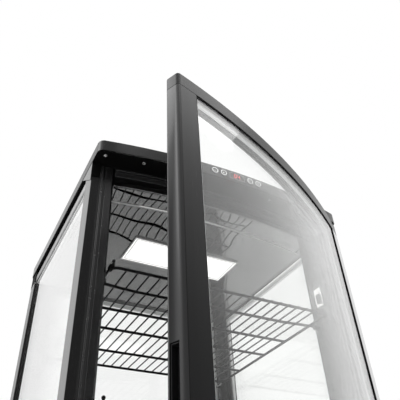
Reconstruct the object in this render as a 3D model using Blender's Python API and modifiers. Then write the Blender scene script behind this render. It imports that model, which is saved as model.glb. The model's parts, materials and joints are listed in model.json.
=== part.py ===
"""Countertop refrigerated glass door merchandiser, four glazed sides, bow front.

Metres, +Z up, front towards -Y.  Everything is laid out from the front datum (y = 0, the
line through the canopy's two front corners) and the floor (z = 0), and the whole assembly
is centred on its bounding box at the end.  The door stands open by DOOR_REST.
"""
import math

import bmesh
import bpy
from mathutils import Matrix, Vector

# ---- driving dimensions -------------------------------------------------------------
WIDTH = 0.430             # over the canopy
HEIGHT = 0.965            # floor to canopy top
DEPTH = 0.398             # canopy, front corners to rear
BOW = 0.023               # how far the canopy's front bulges past its corners
BODY_W = 0.426            # over the corner posts
BODY_BOW = 0.022
BODY_FRONT = 0.0305       # front of the corner posts, behind the datum
BODY_REAR = 0.394
GAP = 0.0003              # between pieces that touch

CANOPY_H = 0.0185
SHEET = 0.0025            # moulded canopy wall
HEADER_BOTTOM = HEIGHT - 0.0436
CEILING_X = 0.1973
CEILING_REAR = 0.381
BEAM_DEPTH = 0.009        # header's front beam
SIDE_STEP = 0.004         # side rails stand inside the posts
SEAT_STEP = 0.004         # the header's face stands behind the posts

FOOT_H = 0.020
FOOT_R = 0.017
FEET_X = 0.178
FEET_Y = (0.040, 0.355)
BASE_TOP = 0.232
BASE_SKIN = 0.0015
BASE_CORNER = 0.008
PAN_T = 0.0015
DECK_TOP = 0.258

GRILLE_X = 0.160          # half width of the louvred opening
GRILLE_Z = (0.060, 0.190)
GRILLE_T = 0.0020
LOUVRES = (7, 0.0725, 0.0165, 0.007)         # count, first, pitch, height
LOUVRE_X = 0.140
VENT_X = (-0.150, 0.110)
VENT_Z = (0.090, 0.190)
VENT_T = 0.0012
VENT_SLOTS = (6, 0.0985, 0.0155, 0.006)
VENT_MARGIN = 0.015
INLET_AT = (0.160, 0.064)                    # centre, x and z
INLET_HALF = (0.016, 0.014)
INLET_WALL = 0.004
INLET_DEPTH = 0.022
INLET_PROUD = 0.0008

COMPRESSOR_AT = (-0.120, 0.285)
COMPRESSOR_PROFILE = ((0.0, 0.132), (0.030, 0.126), (0.048, 0.108), (0.054, 0.075),
                      (0.054, 0.045), (0.050, 0.020), (0.056, 0.014), (0.056, 0.0),
                      (0.0, 0.0))
COIL_X = 0.120
COIL_Y = (0.030, 0.062)
COIL_TOP = 0.178
SHROUD_X = 0.090
SHROUD_Y = (0.0625, 0.0825)
FAN_AT = (0.0, 0.0725, 0.102)
FAN_BORE = 0.070
FAN_BLADES = 5
BLADE_REACH = (0.014, 0.064)
BLADE_HALF = (0.0010, 0.013)                 # half thickness, half chord
BLADE_PITCH = math.radians(25)
HUB_R = 0.018
HUB_Y = (-0.006, 0.008)
MOTOR_R = 0.020
MOTOR_Y = (0.0840, 0.1180)
STRUT = (0.080, 0.008, 0.0822, 0.0862)       # half length, half height, front, rear

POST_W = 0.0325
POST_SIDE = 0.030
POST_INNER = 0.0345       # inner leg of a front post, behind its face
POST_LEG = 0.0124         # thickness of that leg
POST_EDGE = 0.011         # width of the plain strip outside the post's ribs
REAR_POST = 0.032
REAR_CHAMFER = 0.003
# a front post's ribbed face: distance inside the plain strip, and how far back it lies
RIB_STEPS = ((0.0, 0.0022), (0.0026, 0.0022), (0.0026, 0.0004), (0.0050, 0.0004),
             (0.0050, 0.0034), (0.0088, 0.0034), (0.0088, 0.0016))

PANE = 0.003
SPACER_T = 0.0054
SPACER_W = 0.008
DOOR_SPACER_W = 0.006
PANE_SET = 0.0045         # outer pane behind the outside of the posts
PANE_X = BODY_W / 2 - PANE_SET
CEILING_T = 0.001

DOOR_W = 0.428
DOOR_BOW = 0.0201
DOOR_T = 0.021
DOOR_FRONT = 0.002
DOOR_BOTTOM = 0.2365
DOOR_TOP = HEIGHT - 0.0207
STILE_W = 0.0288
RAIL_TOP_H = 0.020
RAIL_BOTTOM_H = 0.030
DOOR_ROUND = 0.0045
SEAL_T = 0.0068
SEAL_X = 0.1985
SEAL_W = 0.0085
SEAL_Z = (0.2590, HEADER_BOTTOM + 0.0150)
SEAL_LIP = 0.0090
DOOR_PANE_AT = (0.0015, 0.0108)              # fronts of the two panes
DOOR_SPACER_AT = (0.0048, 0.0105)
PULL_Y = (0.0080, 0.0180)
PULL_Z = (0.447, 0.607)
PULL_DEPTH = 0.0100
LOCK_AT = (-0.2005, 0.405)                   # x and z of the barrel
LOCK_R = 0.0069
LOCK_BORE = 0.0072
LOCK_Y = (-0.0040, 0.0140)
KEY_HALF = (0.0005, 0.0035)
DOOR_REST = math.radians(24.1)
HINGE = Vector((0.203, DOOR_FRONT + 0.0115, 0.0))
PIN_R = 0.003
PIN_BORE = PIN_R + 0.0001
PIN_HOLE = 0.0120
PIN_IN_DOOR = 0.0110
HINGE_PLATE = (0.1900, 0.2125, 0.0050, 0.0240)
HINGE_TOP_T = 0.0015
HINGE_BOTTOM_T = 0.0025

SHELF_TOPS = (0.7798, 0.6100, 0.4400)
SHELF_X = 0.1742
SHELF_FRONT = 0.0275
SHELF_REAR = 0.3516
RAIL_R = 0.0021
WIRE_R = 0.0012
WIRE_COUNT = 20
WIRE_SPACING = 0.016
WIRE_RISE = 0.0024
RAIL_SINK = 0.0002
SHELF_CORNER = 0.012
CROSS_RAILS = (0.0768, 0.139, 0.202, 0.285)
HOOK_REACH = 0.0185       # the first cross rail runs this far past the frame
HOOK_SWEEP = 0.0072       # and its ends curve forward this much
HOOK_START = 0.120
HOOK_STEPS = 4
HOOK_POWER = 1.3

STANDARD_T = 0.0018
STANDARD_Y = {"front": (0.0530, 0.0640), "rear": (0.3650, 0.3760)}
SEAT_Y = {"front": (0.0550, 0.0600), "rear": (0.3440, 0.3720)}
SEAT_T = 0.0030
SLOTS = (12, 0.285, 0.0500, 0.0060)          # count, first, pitch, height
SLOT_STAGGER = 0.0125
SLOT_HALF = 0.0015

SWITCH_Z = HEIGHT - 0.1485
SWITCH_Y = (0.0350, 0.0510)
SWITCH_HALF_H = 0.0165
SWITCH_T = 0.0016
ROCKER_Y = (0.0385, 0.0475)
ROCKER_Z = (SWITCH_Z - 0.0100, SWITCH_Z + 0.0060)
ROCKER_HALF = (0.0011, 0.0041, 0.0074)

LIGHT = (0.0965, 0.146, 0.2135)      # half width, front, rear
BUTTON_X = (-0.039, -0.024, 0.024, 0.039)
LIGHT_RIM = 0.0025
LIGHT_FRAME_T = 0.003
LENS_T = 0.0022
BUTTON_R = 0.006
BUTTON_PLAY = 0.0004
BUTTON_Y = (-0.0010, 0.0070)
CONTROL_Z = HEIGHT - 0.0092
DISPLAY_HALF = (0.0119, 0.0049)
DISPLAY_DEPTH = 0.0080
DISPLAY_PROUD = 0.0002
CONTROLLER_X = 0.048
CONTROLLER_Y = (0.0120, 0.0420)              # behind the canopy's face
SOFFIT_T = 0.0014
CANOPY_CORNER = 0.010
CUT = 0.01                # how far cutting tools run past what they cut

# ---- materials: colour, roughness, metallic -----------------------------------------
FINISHES = {
    "black_plastic": ((0.020, 0.020, 0.021), 0.42, 0.0),
    "black_steel": ((0.024, 0.024, 0.025), 0.35, 0.0),
    "frame_black": ((0.030, 0.030, 0.031), 0.38, 0.0),
    "mirror_steel": ((0.72, 0.72, 0.72), 0.08, 1.0),
    "clear_glass": ((0.93, 0.95, 0.95), 0.03, 0.0),
    "spacer_aluminium": ((0.55, 0.55, 0.55), 0.40, 1.0),
    "seal_rubber": ((0.035, 0.035, 0.035), 0.70, 0.0),
    "chrome_wire": ((0.30, 0.30, 0.31), 0.30, 1.0),
    "zinc_steel": ((0.60, 0.60, 0.60), 0.35, 1.0),
    "lens_white": ((0.95, 0.95, 0.95), 0.35, 0.0),
    "display_red": ((0.08, 0.01, 0.01), 0.15, 0.0),
    "button_grey": ((0.75, 0.75, 0.75), 0.40, 0.0),
    "foot_rubber": ((0.03, 0.03, 0.03), 0.80, 0.0),
    "fin_aluminium": ((0.62, 0.62, 0.62), 0.35, 1.0),
    "compressor_black": ((0.02, 0.02, 0.02), 0.45, 0.0),
}


# ---- helpers ------------------------------------------------------------------------
def clear_scene():
    for obj in list(bpy.data.objects):
        bpy.data.objects.remove(obj, do_unlink=True)


def new_collection(name):
    col = bpy.data.collections.new(name)
    bpy.context.scene.collection.children.link(col)
    return col


def material(name):
    mat = bpy.data.materials.get(name)
    if mat:
        return mat
    colour, rough, metal = FINISHES[name]
    mat = bpy.data.materials.new(name)
    mat.use_nodes = True
    bsdf = mat.node_tree.nodes["Principled BSDF"]
    bsdf.inputs["Base Color"].default_value = (*colour, 1.0)
    bsdf.inputs["Roughness"].default_value = rough
    bsdf.inputs["Metallic"].default_value = metal
    mat.diffuse_color = (*colour, 1.0)
    return mat


def place(obj, finish, parent=None):
    """Put a finished piece in the parts collection, with its material and parent."""
    PARTS.objects.link(obj)
    obj.data.materials.clear()
    obj.data.materials.append(material(finish))
    obj.parent = parent
    return obj


def from_bmesh(name, bm, smooth=False):
    bmesh.ops.recalc_face_normals(bm, faces=bm.faces)
    mesh = bpy.data.meshes.new(name)
    bm.to_mesh(mesh)
    bm.free()
    if smooth:
        mesh.shade_smooth()
        mesh.set_sharp_from_angle(angle=math.radians(35))
    return bpy.data.objects.new(name, mesh)


def box(name, low, high):
    """A box between two corners."""
    bm = bmesh.new()
    bmesh.ops.create_cube(bm, size=1.0)
    size = Vector(high) - Vector(low)
    bmesh.ops.scale(bm, vec=size, verts=bm.verts)
    bmesh.ops.translate(bm, vec=(Vector(low) + Vector(high)) / 2, verts=bm.verts)
    return from_bmesh(name, bm)


def rod(name, radius, start, end, segments=24, top_radius=None):
    """A round bar or cone between two points."""
    bm = bmesh.new()
    start, end = Vector(start), Vector(end)
    axis = end - start
    bmesh.ops.create_cone(bm, cap_ends=True, segments=segments, radius1=radius,
                          radius2=radius if top_radius is None else top_radius,
                          depth=axis.length)
    turn = Vector((0, 0, 1)).rotation_difference(axis.normalized()).to_matrix().to_4x4()
    bmesh.ops.transform(bm, matrix=Matrix.Translation((start + end) / 2) @ turn,
                        verts=bm.verts)
    return from_bmesh(name, bm, smooth=True)


def bow(x, chord, rise):
    """How far an arc over the chord stands out at x."""
    radius = (chord * chord / 4 + rise * rise) / (2 * rise)
    return math.sqrt(radius * radius - x * x) - (radius - rise)


def arc_points(x0, x1, y, chord, rise, inset=0.0, steps=24):
    """Points along a bowed front from x0 to x1, moved inwards along the radius."""
    radius = (chord * chord / 4 + rise * rise) / (2 * rise)
    centre = y - rise + radius
    points = []
    for i in range(steps + 1):
        x = x0 + (x1 - x0) * i / steps
        angle = math.asin(x / radius)
        r = radius - inset
        points.append((r * math.sin(angle), centre - r * math.cos(angle)))
    return points


def strip(x0, x1, y, chord, rise, near, far, steps=24):
    """Outline of a bowed strip whose faces lie near and far behind the arc."""
    front = arc_points(x0, x1, y, chord, rise, near, steps)
    back = arc_points(x0, x1, y, chord, rise, far, steps)
    return front + back[::-1]


def corner(cx, cy, radius, start, end, steps=4):
    """Points of a rounded corner, angles in degrees."""
    points = []
    for i in range(steps + 1):
        a = math.radians(start + (end - start) * i / steps)
        points.append((cx + radius * math.cos(a), cy + radius * math.sin(a)))
    return points


def bowed_plan(half, y_front, y_rear, chord, rise, radius, inset=0.0, steps=24):
    """Plan outline of the cabinet: bowed front, rounded corners, straight sides."""
    x = half - inset
    r = max(radius - inset, 0.0005)
    front_y = y_front - bow(x - r, chord, rise) + inset
    front = [(px, y_front - bow(px, chord, rise) + inset) for px in
             [-(x - r) + 2 * (x - r) * i / steps for i in range(steps + 1)]]
    rear = y_rear - inset
    return (front + corner(x - r, front_y + r, r, -90, 0)[1:]
            + corner(x - r, rear - r, r, 0, 90)
            + corner(-x + r, rear - r, r, 90, 180)
            + corner(-x + r, front_y + r, r, 180, 270)[:-1])


def prism(name, outline, z0, z1, smooth=False):
    """A plan outline raised between two heights."""
    bm = bmesh.new()
    verts = [bm.verts.new((x, y, z0)) for x, y in outline]
    face = bm.faces.new(verts)
    raised = bmesh.ops.extrude_face_region(bm, geom=[face])
    top = [v for v in raised["geom"] if isinstance(v, bmesh.types.BMVert)]
    bmesh.ops.translate(bm, vec=(0, 0, z1 - z0), verts=top)
    return from_bmesh(name, bm, smooth)


def cap_shell(name, outline, z_open, z_closed, wall):
    """A tray: one flat wall at z_closed and a skirt down or up to z_open."""
    bm = bmesh.new()
    rim = [bm.verts.new((x, y, z_open)) for x, y in outline]
    face = bm.faces.new(rim)
    raised = bmesh.ops.extrude_face_region(bm, geom=[face])
    moved = [v for v in raised["geom"] if isinstance(v, bmesh.types.BMVert)]
    bmesh.ops.translate(bm, vec=(0, 0, z_closed - z_open), verts=moved)
    bmesh.ops.recalc_face_normals(bm, faces=bm.faces)
    open_end = [f for f in bm.faces if abs(f.calc_center_median().z - z_open) < 1e-6]
    bmesh.ops.delete(bm, geom=open_end, context="FACES_ONLY")
    mesh = bpy.data.meshes.new(name)
    bm.to_mesh(mesh)
    bm.free()
    obj = bpy.data.objects.new(name, mesh)
    shell = obj.modifiers.new("wall", "SOLIDIFY")
    shell.thickness = wall
    shell.offset = -1.0
    shell.use_even_offset = True
    return obj


def turned(name, profile, steps=28):
    """A turned piece from (radius, z) points listed from top to bottom."""
    mesh = bpy.data.meshes.new(name)
    verts = [(r, 0.0, z) for r, z in profile]
    mesh.from_pydata(verts, [(i, i + 1) for i in range(len(verts) - 1)], [])
    obj = bpy.data.objects.new(name, mesh)
    screw = obj.modifiers.new("turn", "SCREW")
    screw.steps = steps
    screw.render_steps = steps
    screw.use_merge_vertices = True
    screw.merge_threshold = 0.00005
    screw.use_smooth_shade = True
    return obj


def boolean(obj, other, operation):
    """Join or cut with another piece, which becomes a hidden tool."""
    if other.name not in TOOLS.objects:
        TOOLS.objects.link(other)
    other.hide_render = True
    other.display_type = "WIRE"
    mod = obj.modifiers.new(other.name, "BOOLEAN")
    mod.operation = operation
    mod.object = other
    return obj


def rounded(obj, width, segments=2, angle=40):
    mod = obj.modifiers.new("edges", "BEVEL")
    mod.width = width
    mod.segments = segments
    mod.limit_method = "ANGLE"
    mod.angle_limit = math.radians(angle)
    return obj


def wire_mesh(name, paths, radius, sides):
    """Closed tubes along polylines, one mesh; each path is (points, cyclic)."""
    curve = bpy.data.curves.new(name + "_path", "CURVE")
    curve.dimensions = "3D"
    curve.bevel_depth = radius
    curve.bevel_resolution = sides // 2 - 2
    curve.use_fill_caps = True
    for points, cyclic in paths:
        spline = curve.splines.new("POLY")
        spline.points.add(len(points) - 1)
        for point, co in zip(spline.points, points):
            point.co = (*co, 1.0)
        spline.use_cyclic_u = cyclic
    holder = bpy.data.objects.new(name + "_path", curve)
    bpy.context.scene.collection.objects.link(holder)
    deps = bpy.context.evaluated_depsgraph_get()
    mesh = bpy.data.meshes.new_from_object(holder.evaluated_get(deps))
    bm = bmesh.new()
    bm.from_mesh(mesh)
    bmesh.ops.remove_doubles(bm, verts=bm.verts, dist=0.00001)
    bmesh.ops.recalc_face_normals(bm, faces=bm.faces)
    bm.to_mesh(mesh)
    bm.free()
    bpy.data.objects.remove(holder, do_unlink=True)
    mesh.name = name
    return bpy.data.objects.new(name, mesh)


# ---- base ---------------------------------------------------------------------------
def base_plan(inset=0.0):
    return bowed_plan(BODY_W / 2, 0.0, BODY_REAR, BODY_W, BODY_BOW, BASE_CORNER, inset)


def front_cut(name, x0, x1, z0, z1):
    """Cutting tool for an opening in the bowed front."""
    return box(name, (x0, -2 * BODY_BOW, z0), (x1, BODY_BOW, z1))


def rear_cut(name, x0, x1, z0, z1):
    """Cutting tool for an opening in the flat back."""
    return box(name, (x0, BODY_REAR - CUT, z0), (x1, BODY_REAR + CUT, z1))


def inlet_frame(margin):
    """Left, right, bottom and top of the power inlet, grown by a margin."""
    x, z = INLET_AT
    half_x = INLET_HALF[0] + margin
    half_z = INLET_HALF[1] + margin
    return x - half_x, x + half_x, z - half_z, z + half_z


def build_base():
    shell = cap_shell("base_shell", base_plan(), FOOT_H + 0.001, BASE_TOP, BASE_SKIN)
    cutters = (front_cut("grille_opening", -GRILLE_X, GRILLE_X, *GRILLE_Z),
               rear_cut("rear_vent_opening", *VENT_X, *VENT_Z),
               rear_cut("inlet_opening", *inlet_frame(GAP)))
    for cutter in cutters:
        boolean(shell, cutter, "DIFFERENCE")
    place(shell, "black_steel")

    pan = prism("base_pan", base_plan(BASE_SKIN + GAP), FOOT_H + GAP, FOOT_H + GAP + PAN_T)
    place(pan, "zinc_steel")

    for side, x in (("left", -FEET_X), ("right", FEET_X)):
        for end, y in zip(("front", "rear"), FEET_Y):
            foot = turned("foot_%s_%s" % (end, side),
                          [(0.0, FOOT_H), (FOOT_R, FOOT_H), (FOOT_R + 0.0015, 0.6 * FOOT_H),
                           (FOOT_R - 0.0005, 0.0), (0.0, 0.0)])
            foot.location = (x, y, 0)
            place(foot, "foot_rubber")


def build_front_grille():
    """Bowed louvre panel set in the base's front opening."""
    x = GRILLE_X - GAP
    outline = strip(-x, x, 0.0, BODY_W, BODY_BOW, 0.0002, 0.0002 + GRILLE_T, 16)
    panel = prism("front_grille", outline, GRILLE_Z[0] + GAP, GRILLE_Z[1] - GAP)
    count, first, pitch, tall = LOUVRES
    for i in range(count):
        z = first + i * pitch
        louvre = front_cut("louvre_%d" % i, -LOUVRE_X, LOUVRE_X, z, z + tall)
        boolean(panel, louvre, "DIFFERENCE")
    place(panel, "black_plastic")


def build_rear_vent():
    """Slotted panel in the back, and the power inlet beside it."""
    panel = box("rear_vent", (VENT_X[0] + GAP, BODY_REAR - GAP - VENT_T, VENT_Z[0] + GAP),
                (VENT_X[1] - GAP, BODY_REAR - GAP, VENT_Z[1] - GAP))
    count, first, pitch, tall = VENT_SLOTS
    for i in range(count):
        z = first + i * pitch
        slot = rear_cut("rear_slot_%d" % i, VENT_X[0] + VENT_MARGIN,
                        VENT_X[1] - VENT_MARGIN, z, z + tall)
        boolean(panel, slot, "DIFFERENCE")
    place(panel, "black_steel")

    x0, x1, z0, z1 = inlet_frame(0.0)
    inlet = box("power_inlet", (x0, BODY_REAR - INLET_DEPTH, z0),
                (x1, BODY_REAR + INLET_PROUD, z1))
    x0, x1, z0, z1 = inlet_frame(-INLET_WALL)
    socket = box("inlet_socket", (x0, BODY_REAR - INLET_DEPTH + 1.5 * INLET_WALL, z0),
                 (x1, BODY_REAR + CUT, z1))
    place(boolean(inlet, socket, "DIFFERENCE"), "black_plastic")


def build_refrigeration():
    """Compressor, and the condenser behind the front louvres with its fan."""
    floor = FOOT_H + 2 * GAP + PAN_T
    compressor = turned("compressor", COMPRESSOR_PROFILE)
    compressor.location = (*COMPRESSOR_AT, floor)
    place(compressor, "compressor_black")

    condenser = box("condenser_coil", (-COIL_X, COIL_Y[0], floor),
                    (COIL_X, COIL_Y[1], COIL_TOP))
    place(condenser, "fin_aluminium")

    x, _, z = FAN_AT
    shroud = box("fan_shroud", (-SHROUD_X, SHROUD_Y[0], floor),
                 (SHROUD_X, SHROUD_Y[1], COIL_TOP))
    bore = rod("shroud_bore", FAN_BORE, (x, SHROUD_Y[0] - CUT, z),
               (x, SHROUD_Y[1] + CUT, z), 32)
    boolean(shroud, bore, "DIFFERENCE")
    length, height, y0, y1 = STRUT
    boolean(shroud, box("motor_strut", (-length, y0, z - height), (length, y1, z + height)),
            "UNION")
    boolean(shroud, rod("fan_motor", MOTOR_R, (x, MOTOR_Y[0], z), (x, MOTOR_Y[1], z), 20),
            "UNION")
    place(shroud, "black_plastic")
    build_fan()


def build_fan():
    """Five pitched blades on a hub, about the fan's own axis."""
    axle = bpy.data.objects.new("fan_axis", None)
    axle.location = FAN_AT
    AXES.append(axle)
    PARTS.objects.link(axle)
    fan = rod("condenser_fan", HUB_R, (0, HUB_Y[0], 0), (0, HUB_Y[1], 0), 20)
    thin, chord = BLADE_HALF
    for i in range(FAN_BLADES):
        blade = box("fan_blade_%d" % i, (BLADE_REACH[0], -thin, -chord),
                    (BLADE_REACH[1], thin, chord))
        blade.data.transform(Matrix.Rotation(BLADE_PITCH, 4, "X"))
        blade.data.transform(Matrix.Rotation(math.tau * i / FAN_BLADES, 4, "Y"))
        boolean(fan, blade, "UNION")
        blade.parent = axle
    place(fan, "black_plastic", axle)


def build_deck():
    """Insulated floor of the display chamber, its front edge bowed like the door."""
    plan = bowed_plan(BODY_W / 2, BODY_FRONT, BODY_REAR, BODY_W, BODY_BOW, 0.003)
    deck = prism("deck", plan, BASE_TOP + GAP, DECK_TOP)
    place(rounded(deck, 0.0012, 1), "frame_black")


# ---- frame --------------------------------------------------------------------------
def build_posts():
    """Four corner posts; a front post's face follows the bow and carries two ribs."""
    half = BODY_W / 2
    inner = half - POST_W
    edge = half - POST_EDGE
    leg = inner + POST_LEG

    def face(x, back):
        return (-x, BODY_FRONT - bow(x, BODY_W, BODY_BOW) + back)

    left = ([face(half, 0.0), face(edge, 0.0)]
            + [face(edge - inside, back) for inside, back in RIB_STEPS]
            + [face(inner + 0.003, 0.0030), face(inner, 0.0060),
               (-inner, BODY_FRONT + POST_INNER), (-leg, BODY_FRONT + POST_INNER),
               (-leg, BODY_FRONT + POST_SIDE), (-half, BODY_FRONT + POST_SIDE)])
    right = [(-x, y) for x, y in reversed(left)]
    z0 = DECK_TOP + GAP
    z1 = HEIGHT - CANOPY_H - GAP
    place(prism("post_front_left", left, z0, z1), "frame_black")
    place(prism("post_front_right", right, z0, z1), "frame_black")

    rear = [(-half, BODY_REAR - REAR_POST), (-inner, BODY_REAR - REAR_POST),
            (-inner, BODY_REAR - REAR_CHAMFER), (-inner - REAR_CHAMFER, BODY_REAR),
            (-half + REAR_CHAMFER, BODY_REAR), (-half, BODY_REAR - REAR_CHAMFER)]
    z1 = HEADER_BOTTOM - GAP
    place(prism("post_rear_left", rear, z0, z1), "frame_black")
    mirrored = [(-x, y) for x, y in reversed(rear)]
    place(prism("post_rear_right", mirrored, z0, z1), "frame_black")


def front_line(x, back):
    return (x, BODY_FRONT - bow(x, BODY_W, BODY_BOW) + back)


def spread(x0, x1, steps):
    return [x0 + (x1 - x0) * i / steps for i in range(steps + 1)]


def build_header():
    """Front beam between the posts, and a U of side and rear rails behind them."""
    half = BODY_W / 2
    span = half - POST_W - GAP
    z0, z1 = HEADER_BOTTOM, HEIGHT - CANOPY_H - GAP
    beam = ([front_line(x, SEAT_STEP) for x in spread(-span, span, 20)]
            + [front_line(x, SEAT_STEP + BEAM_DEPTH) for x in spread(span, -span, 20)])
    place(prism("header_front", beam, z0, z1), "frame_black")

    y0 = BODY_FRONT + POST_INNER + GAP
    y1 = BODY_REAR - REAR_POST
    side = half - SIDE_STEP
    rails = [(side, y0), (side, y1), (half, y1), (half, BODY_REAR), (-half, BODY_REAR),
             (-half, y1), (-side, y1), (-side, y0), (-CEILING_X, y0),
             (-CEILING_X, CEILING_REAR), (CEILING_X, CEILING_REAR), (CEILING_X, y0)]
    place(prism("header_rails", rails, z0, z1), "frame_black")
    place(prism("ceiling_panel", ceiling_plan(), z0, z0 + CEILING_T),
          "mirror_steel")


def ceiling_plan():
    """Mirror sheet, notched round the front posts."""
    notch_x = BODY_W / 2 - POST_W - GAP
    notch_y = BODY_FRONT + POST_INNER + GAP
    x = CEILING_X - GAP
    y = CEILING_REAR - GAP
    front = [front_line(px, SEAT_STEP + BEAM_DEPTH + GAP)
             for px in spread(-notch_x, notch_x, 20)]
    return front + [(notch_x, notch_y), (x, notch_y), (x, y), (-x, y), (-x, notch_y),
                    (-notch_x, notch_y)]


def canopy_plan(inset=0.0):
    return bowed_plan(WIDTH / 2, 0.0, DEPTH, WIDTH, BOW, CANOPY_CORNER, inset)


def build_canopy():
    canopy = cap_shell("canopy_shell", canopy_plan(), HEIGHT - CANOPY_H, HEIGHT, SHEET)
    for i, x in enumerate(BUTTON_X):
        y = -bow(x, WIDTH, BOW)
        hole = rod("button_hole_%d" % i, BUTTON_R + BUTTON_PLAY, (x, y - CUT, CONTROL_Z),
                   (x, y + CUT, CONTROL_Z), 24)
        boolean(canopy, hole, "DIFFERENCE")
    x = DISPLAY_HALF[0] + GAP
    z = DISPLAY_HALF[1] + GAP
    boolean(canopy, box("display_hole", (-x, -BOW - CUT, CONTROL_Z - z),
                        (x, -BOW + CUT, CONTROL_Z + z)), "DIFFERENCE")
    place(canopy, "black_plastic")

    soffit = prism("soffit_panel", canopy_plan(SHEET + GAP), HEIGHT - CANOPY_H,
                   HEIGHT - CANOPY_H + SOFFIT_T)
    place(soffit, "black_plastic")


def build_controls():
    """Controller behind the canopy's face, its display and four push buttons."""
    place(box("controller_box",
              (-CONTROLLER_X, CONTROLLER_Y[0] - BOW, HEIGHT - CANOPY_H + SOFFIT_T + GAP),
              (CONTROLLER_X, CONTROLLER_Y[1] - BOW, HEIGHT - SHEET - GAP)), "black_plastic")
    x, z = DISPLAY_HALF
    place(box("display_window", (-x, -BOW - DISPLAY_PROUD, CONTROL_Z - z),
              (x, -BOW + DISPLAY_DEPTH, CONTROL_Z + z)), "display_red")
    for i, x in enumerate(BUTTON_X):
        y = -bow(x, WIDTH, BOW)
        button = rod("button_%d" % (i + 1), BUTTON_R, (0, BUTTON_Y[0], 0),
                     (0, BUTTON_Y[1], 0), 24)
        button.location = (x, y, CONTROL_Z)
        place(button, "button_grey")


def build_light():
    """Flat light under the ceiling: a thin frame round a white lens."""
    half, y0, y1 = LIGHT
    z1 = HEADER_BOTTOM - GAP
    frame = box("light_frame", (-half - LIGHT_RIM, y0 - LIGHT_RIM, z1 - LIGHT_FRAME_T),
                (half + LIGHT_RIM, y1 + LIGHT_RIM, z1))
    boolean(frame, box("light_opening", (-half, y0, z1 - CUT), (half, y1, z1 + CUT)),
            "DIFFERENCE")
    place(frame, "zinc_steel")
    lens = box("light_lens", (-half + GAP, y0 + GAP, z1 - LENS_T),
               (half - GAP, y1 - GAP, z1))
    place(lens, "lens_white")


# ---- glazing ------------------------------------------------------------------------
def ring_between(name, low, high, window_low, window_high):
    frame = box(name, low, high)
    return boolean(frame, box(name + "_window", window_low, window_high), "DIFFERENCE")


def build_glazing():
    """Double glazing on both sides and at the rear: two panes and a spacer frame."""
    z0, z1 = DECK_TOP + GAP, HEADER_BOTTOM - GAP
    y0, y1 = BODY_FRONT + POST_SIDE + GAP, BODY_REAR - REAR_POST - GAP
    for side, name in ((-1, "left"), (1, "right")):
        layers = (("outer", PANE_X - PANE, PANE_X),
                  ("spacer", PANE_X - PANE - GAP - SPACER_T, PANE_X - PANE - GAP),
                  ("inner", PANE_X - 2 * PANE - 2 * GAP - SPACER_T,
                   PANE_X - PANE - 2 * GAP - SPACER_T))
        for layer, a, b in layers:
            lo, hi = sorted((side * a, side * b))
            if layer == "spacer":
                piece = ring_between("glass_%s_spacer" % name, (lo, y0, z0), (hi, y1, z1),
                                     (lo - CUT, y0 + SPACER_W, z0 + SPACER_W),
                                     (hi + CUT, y1 - SPACER_W, z1 - SPACER_W))
                place(piece, "spacer_aluminium")
            else:
                place(box("glass_%s_%s" % (name, layer), (lo, y0, z0), (hi, y1, z1)),
                      "clear_glass")
    x = BODY_W / 2 - POST_W - GAP
    back = BODY_REAR - PANE_SET
    for layer, a, b in (("outer", back - PANE, back),
                        ("spacer", back - PANE - GAP - SPACER_T, back - PANE - GAP),
                        ("inner", back - 2 * PANE - 2 * GAP - SPACER_T,
                         back - PANE - 2 * GAP - SPACER_T)):
        if layer == "spacer":
            piece = ring_between("glass_rear_spacer", (-x, a, z0), (x, b, z1),
                                 (-x + SPACER_W, a - CUT, z0 + SPACER_W),
                                 (x - SPACER_W, b + CUT, z1 - SPACER_W))
            place(piece, "spacer_aluminium")
        else:
            place(box("glass_rear_%s" % layer, (-x, a, z0), (x, b, z1)), "clear_glass")


# ---- shelves ------------------------------------------------------------------------
def hook_rail(y):
    """The first cross rail: straight in the middle, its ends swept forward."""
    reach = SHELF_X + HOOK_REACH
    ends = []
    for step in range(HOOK_STEPS + 1):
        t = step / HOOK_STEPS
        x = HOOK_START + (reach - HOOK_START) * t
        ends.append((x, y - HOOK_SWEEP * t ** HOOK_POWER, -RAIL_SINK))
    return [(-x, py, z) for x, py, z in reversed(ends)] + ends


def shelf_mesh():
    """One wire shelf about its own rail centreline: frame, cross rails, thin wires."""
    r = SHELF_CORNER
    loop = (corner(SHELF_X - r, SHELF_FRONT + r, r, -90, 0, 3)
            + corner(SHELF_X - r, SHELF_REAR - r, r, 0, 90, 3)
            + corner(-SHELF_X + r, SHELF_REAR - r, r, 90, 180, 3)
            + corner(-SHELF_X + r, SHELF_FRONT + r, r, 180, 270, 3))
    shelf = wire_mesh("shelf_frame", [([(x, y, 0.0) for x, y in loop], True)], RAIL_R, 6)
    rails = [(hook_rail(CROSS_RAILS[0]), False)]
    for y in CROSS_RAILS[1:]:
        rails.append(([(-SHELF_X, y, -RAIL_SINK), (SHELF_X, y, -RAIL_SINK)], False))
    boolean(shelf, wire_mesh("shelf_rails", rails, RAIL_R, 6), "UNION")
    wires = []
    for i in range(WIRE_COUNT):
        x = WIRE_SPACING * (i - (WIRE_COUNT - 1) / 2)
        wires.append(([(x, SHELF_FRONT, WIRE_RISE), (x, SHELF_REAR, WIRE_RISE)], False))
    boolean(shelf, wire_mesh("shelf_wires", wires, WIRE_R, 4), "UNION")
    bpy.context.scene.collection.objects.link(shelf)
    deps = bpy.context.evaluated_depsgraph_get()
    mesh = bpy.data.meshes.new_from_object(shelf.evaluated_get(deps))
    mesh.name = "wire_shelf"
    for name in ("shelf_rails", "shelf_wires", "shelf_frame"):
        bpy.data.objects.remove(bpy.data.objects[name], do_unlink=True)
    return mesh


def build_shelves():
    mesh = shelf_mesh()
    for i, z in enumerate(SHELF_TOPS):
        shelf = bpy.data.objects.new("shelf_%d" % (i + 1), mesh)
        shelf.location = (0, 0, z)
        place(shelf, "chrome_wire")


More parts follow.
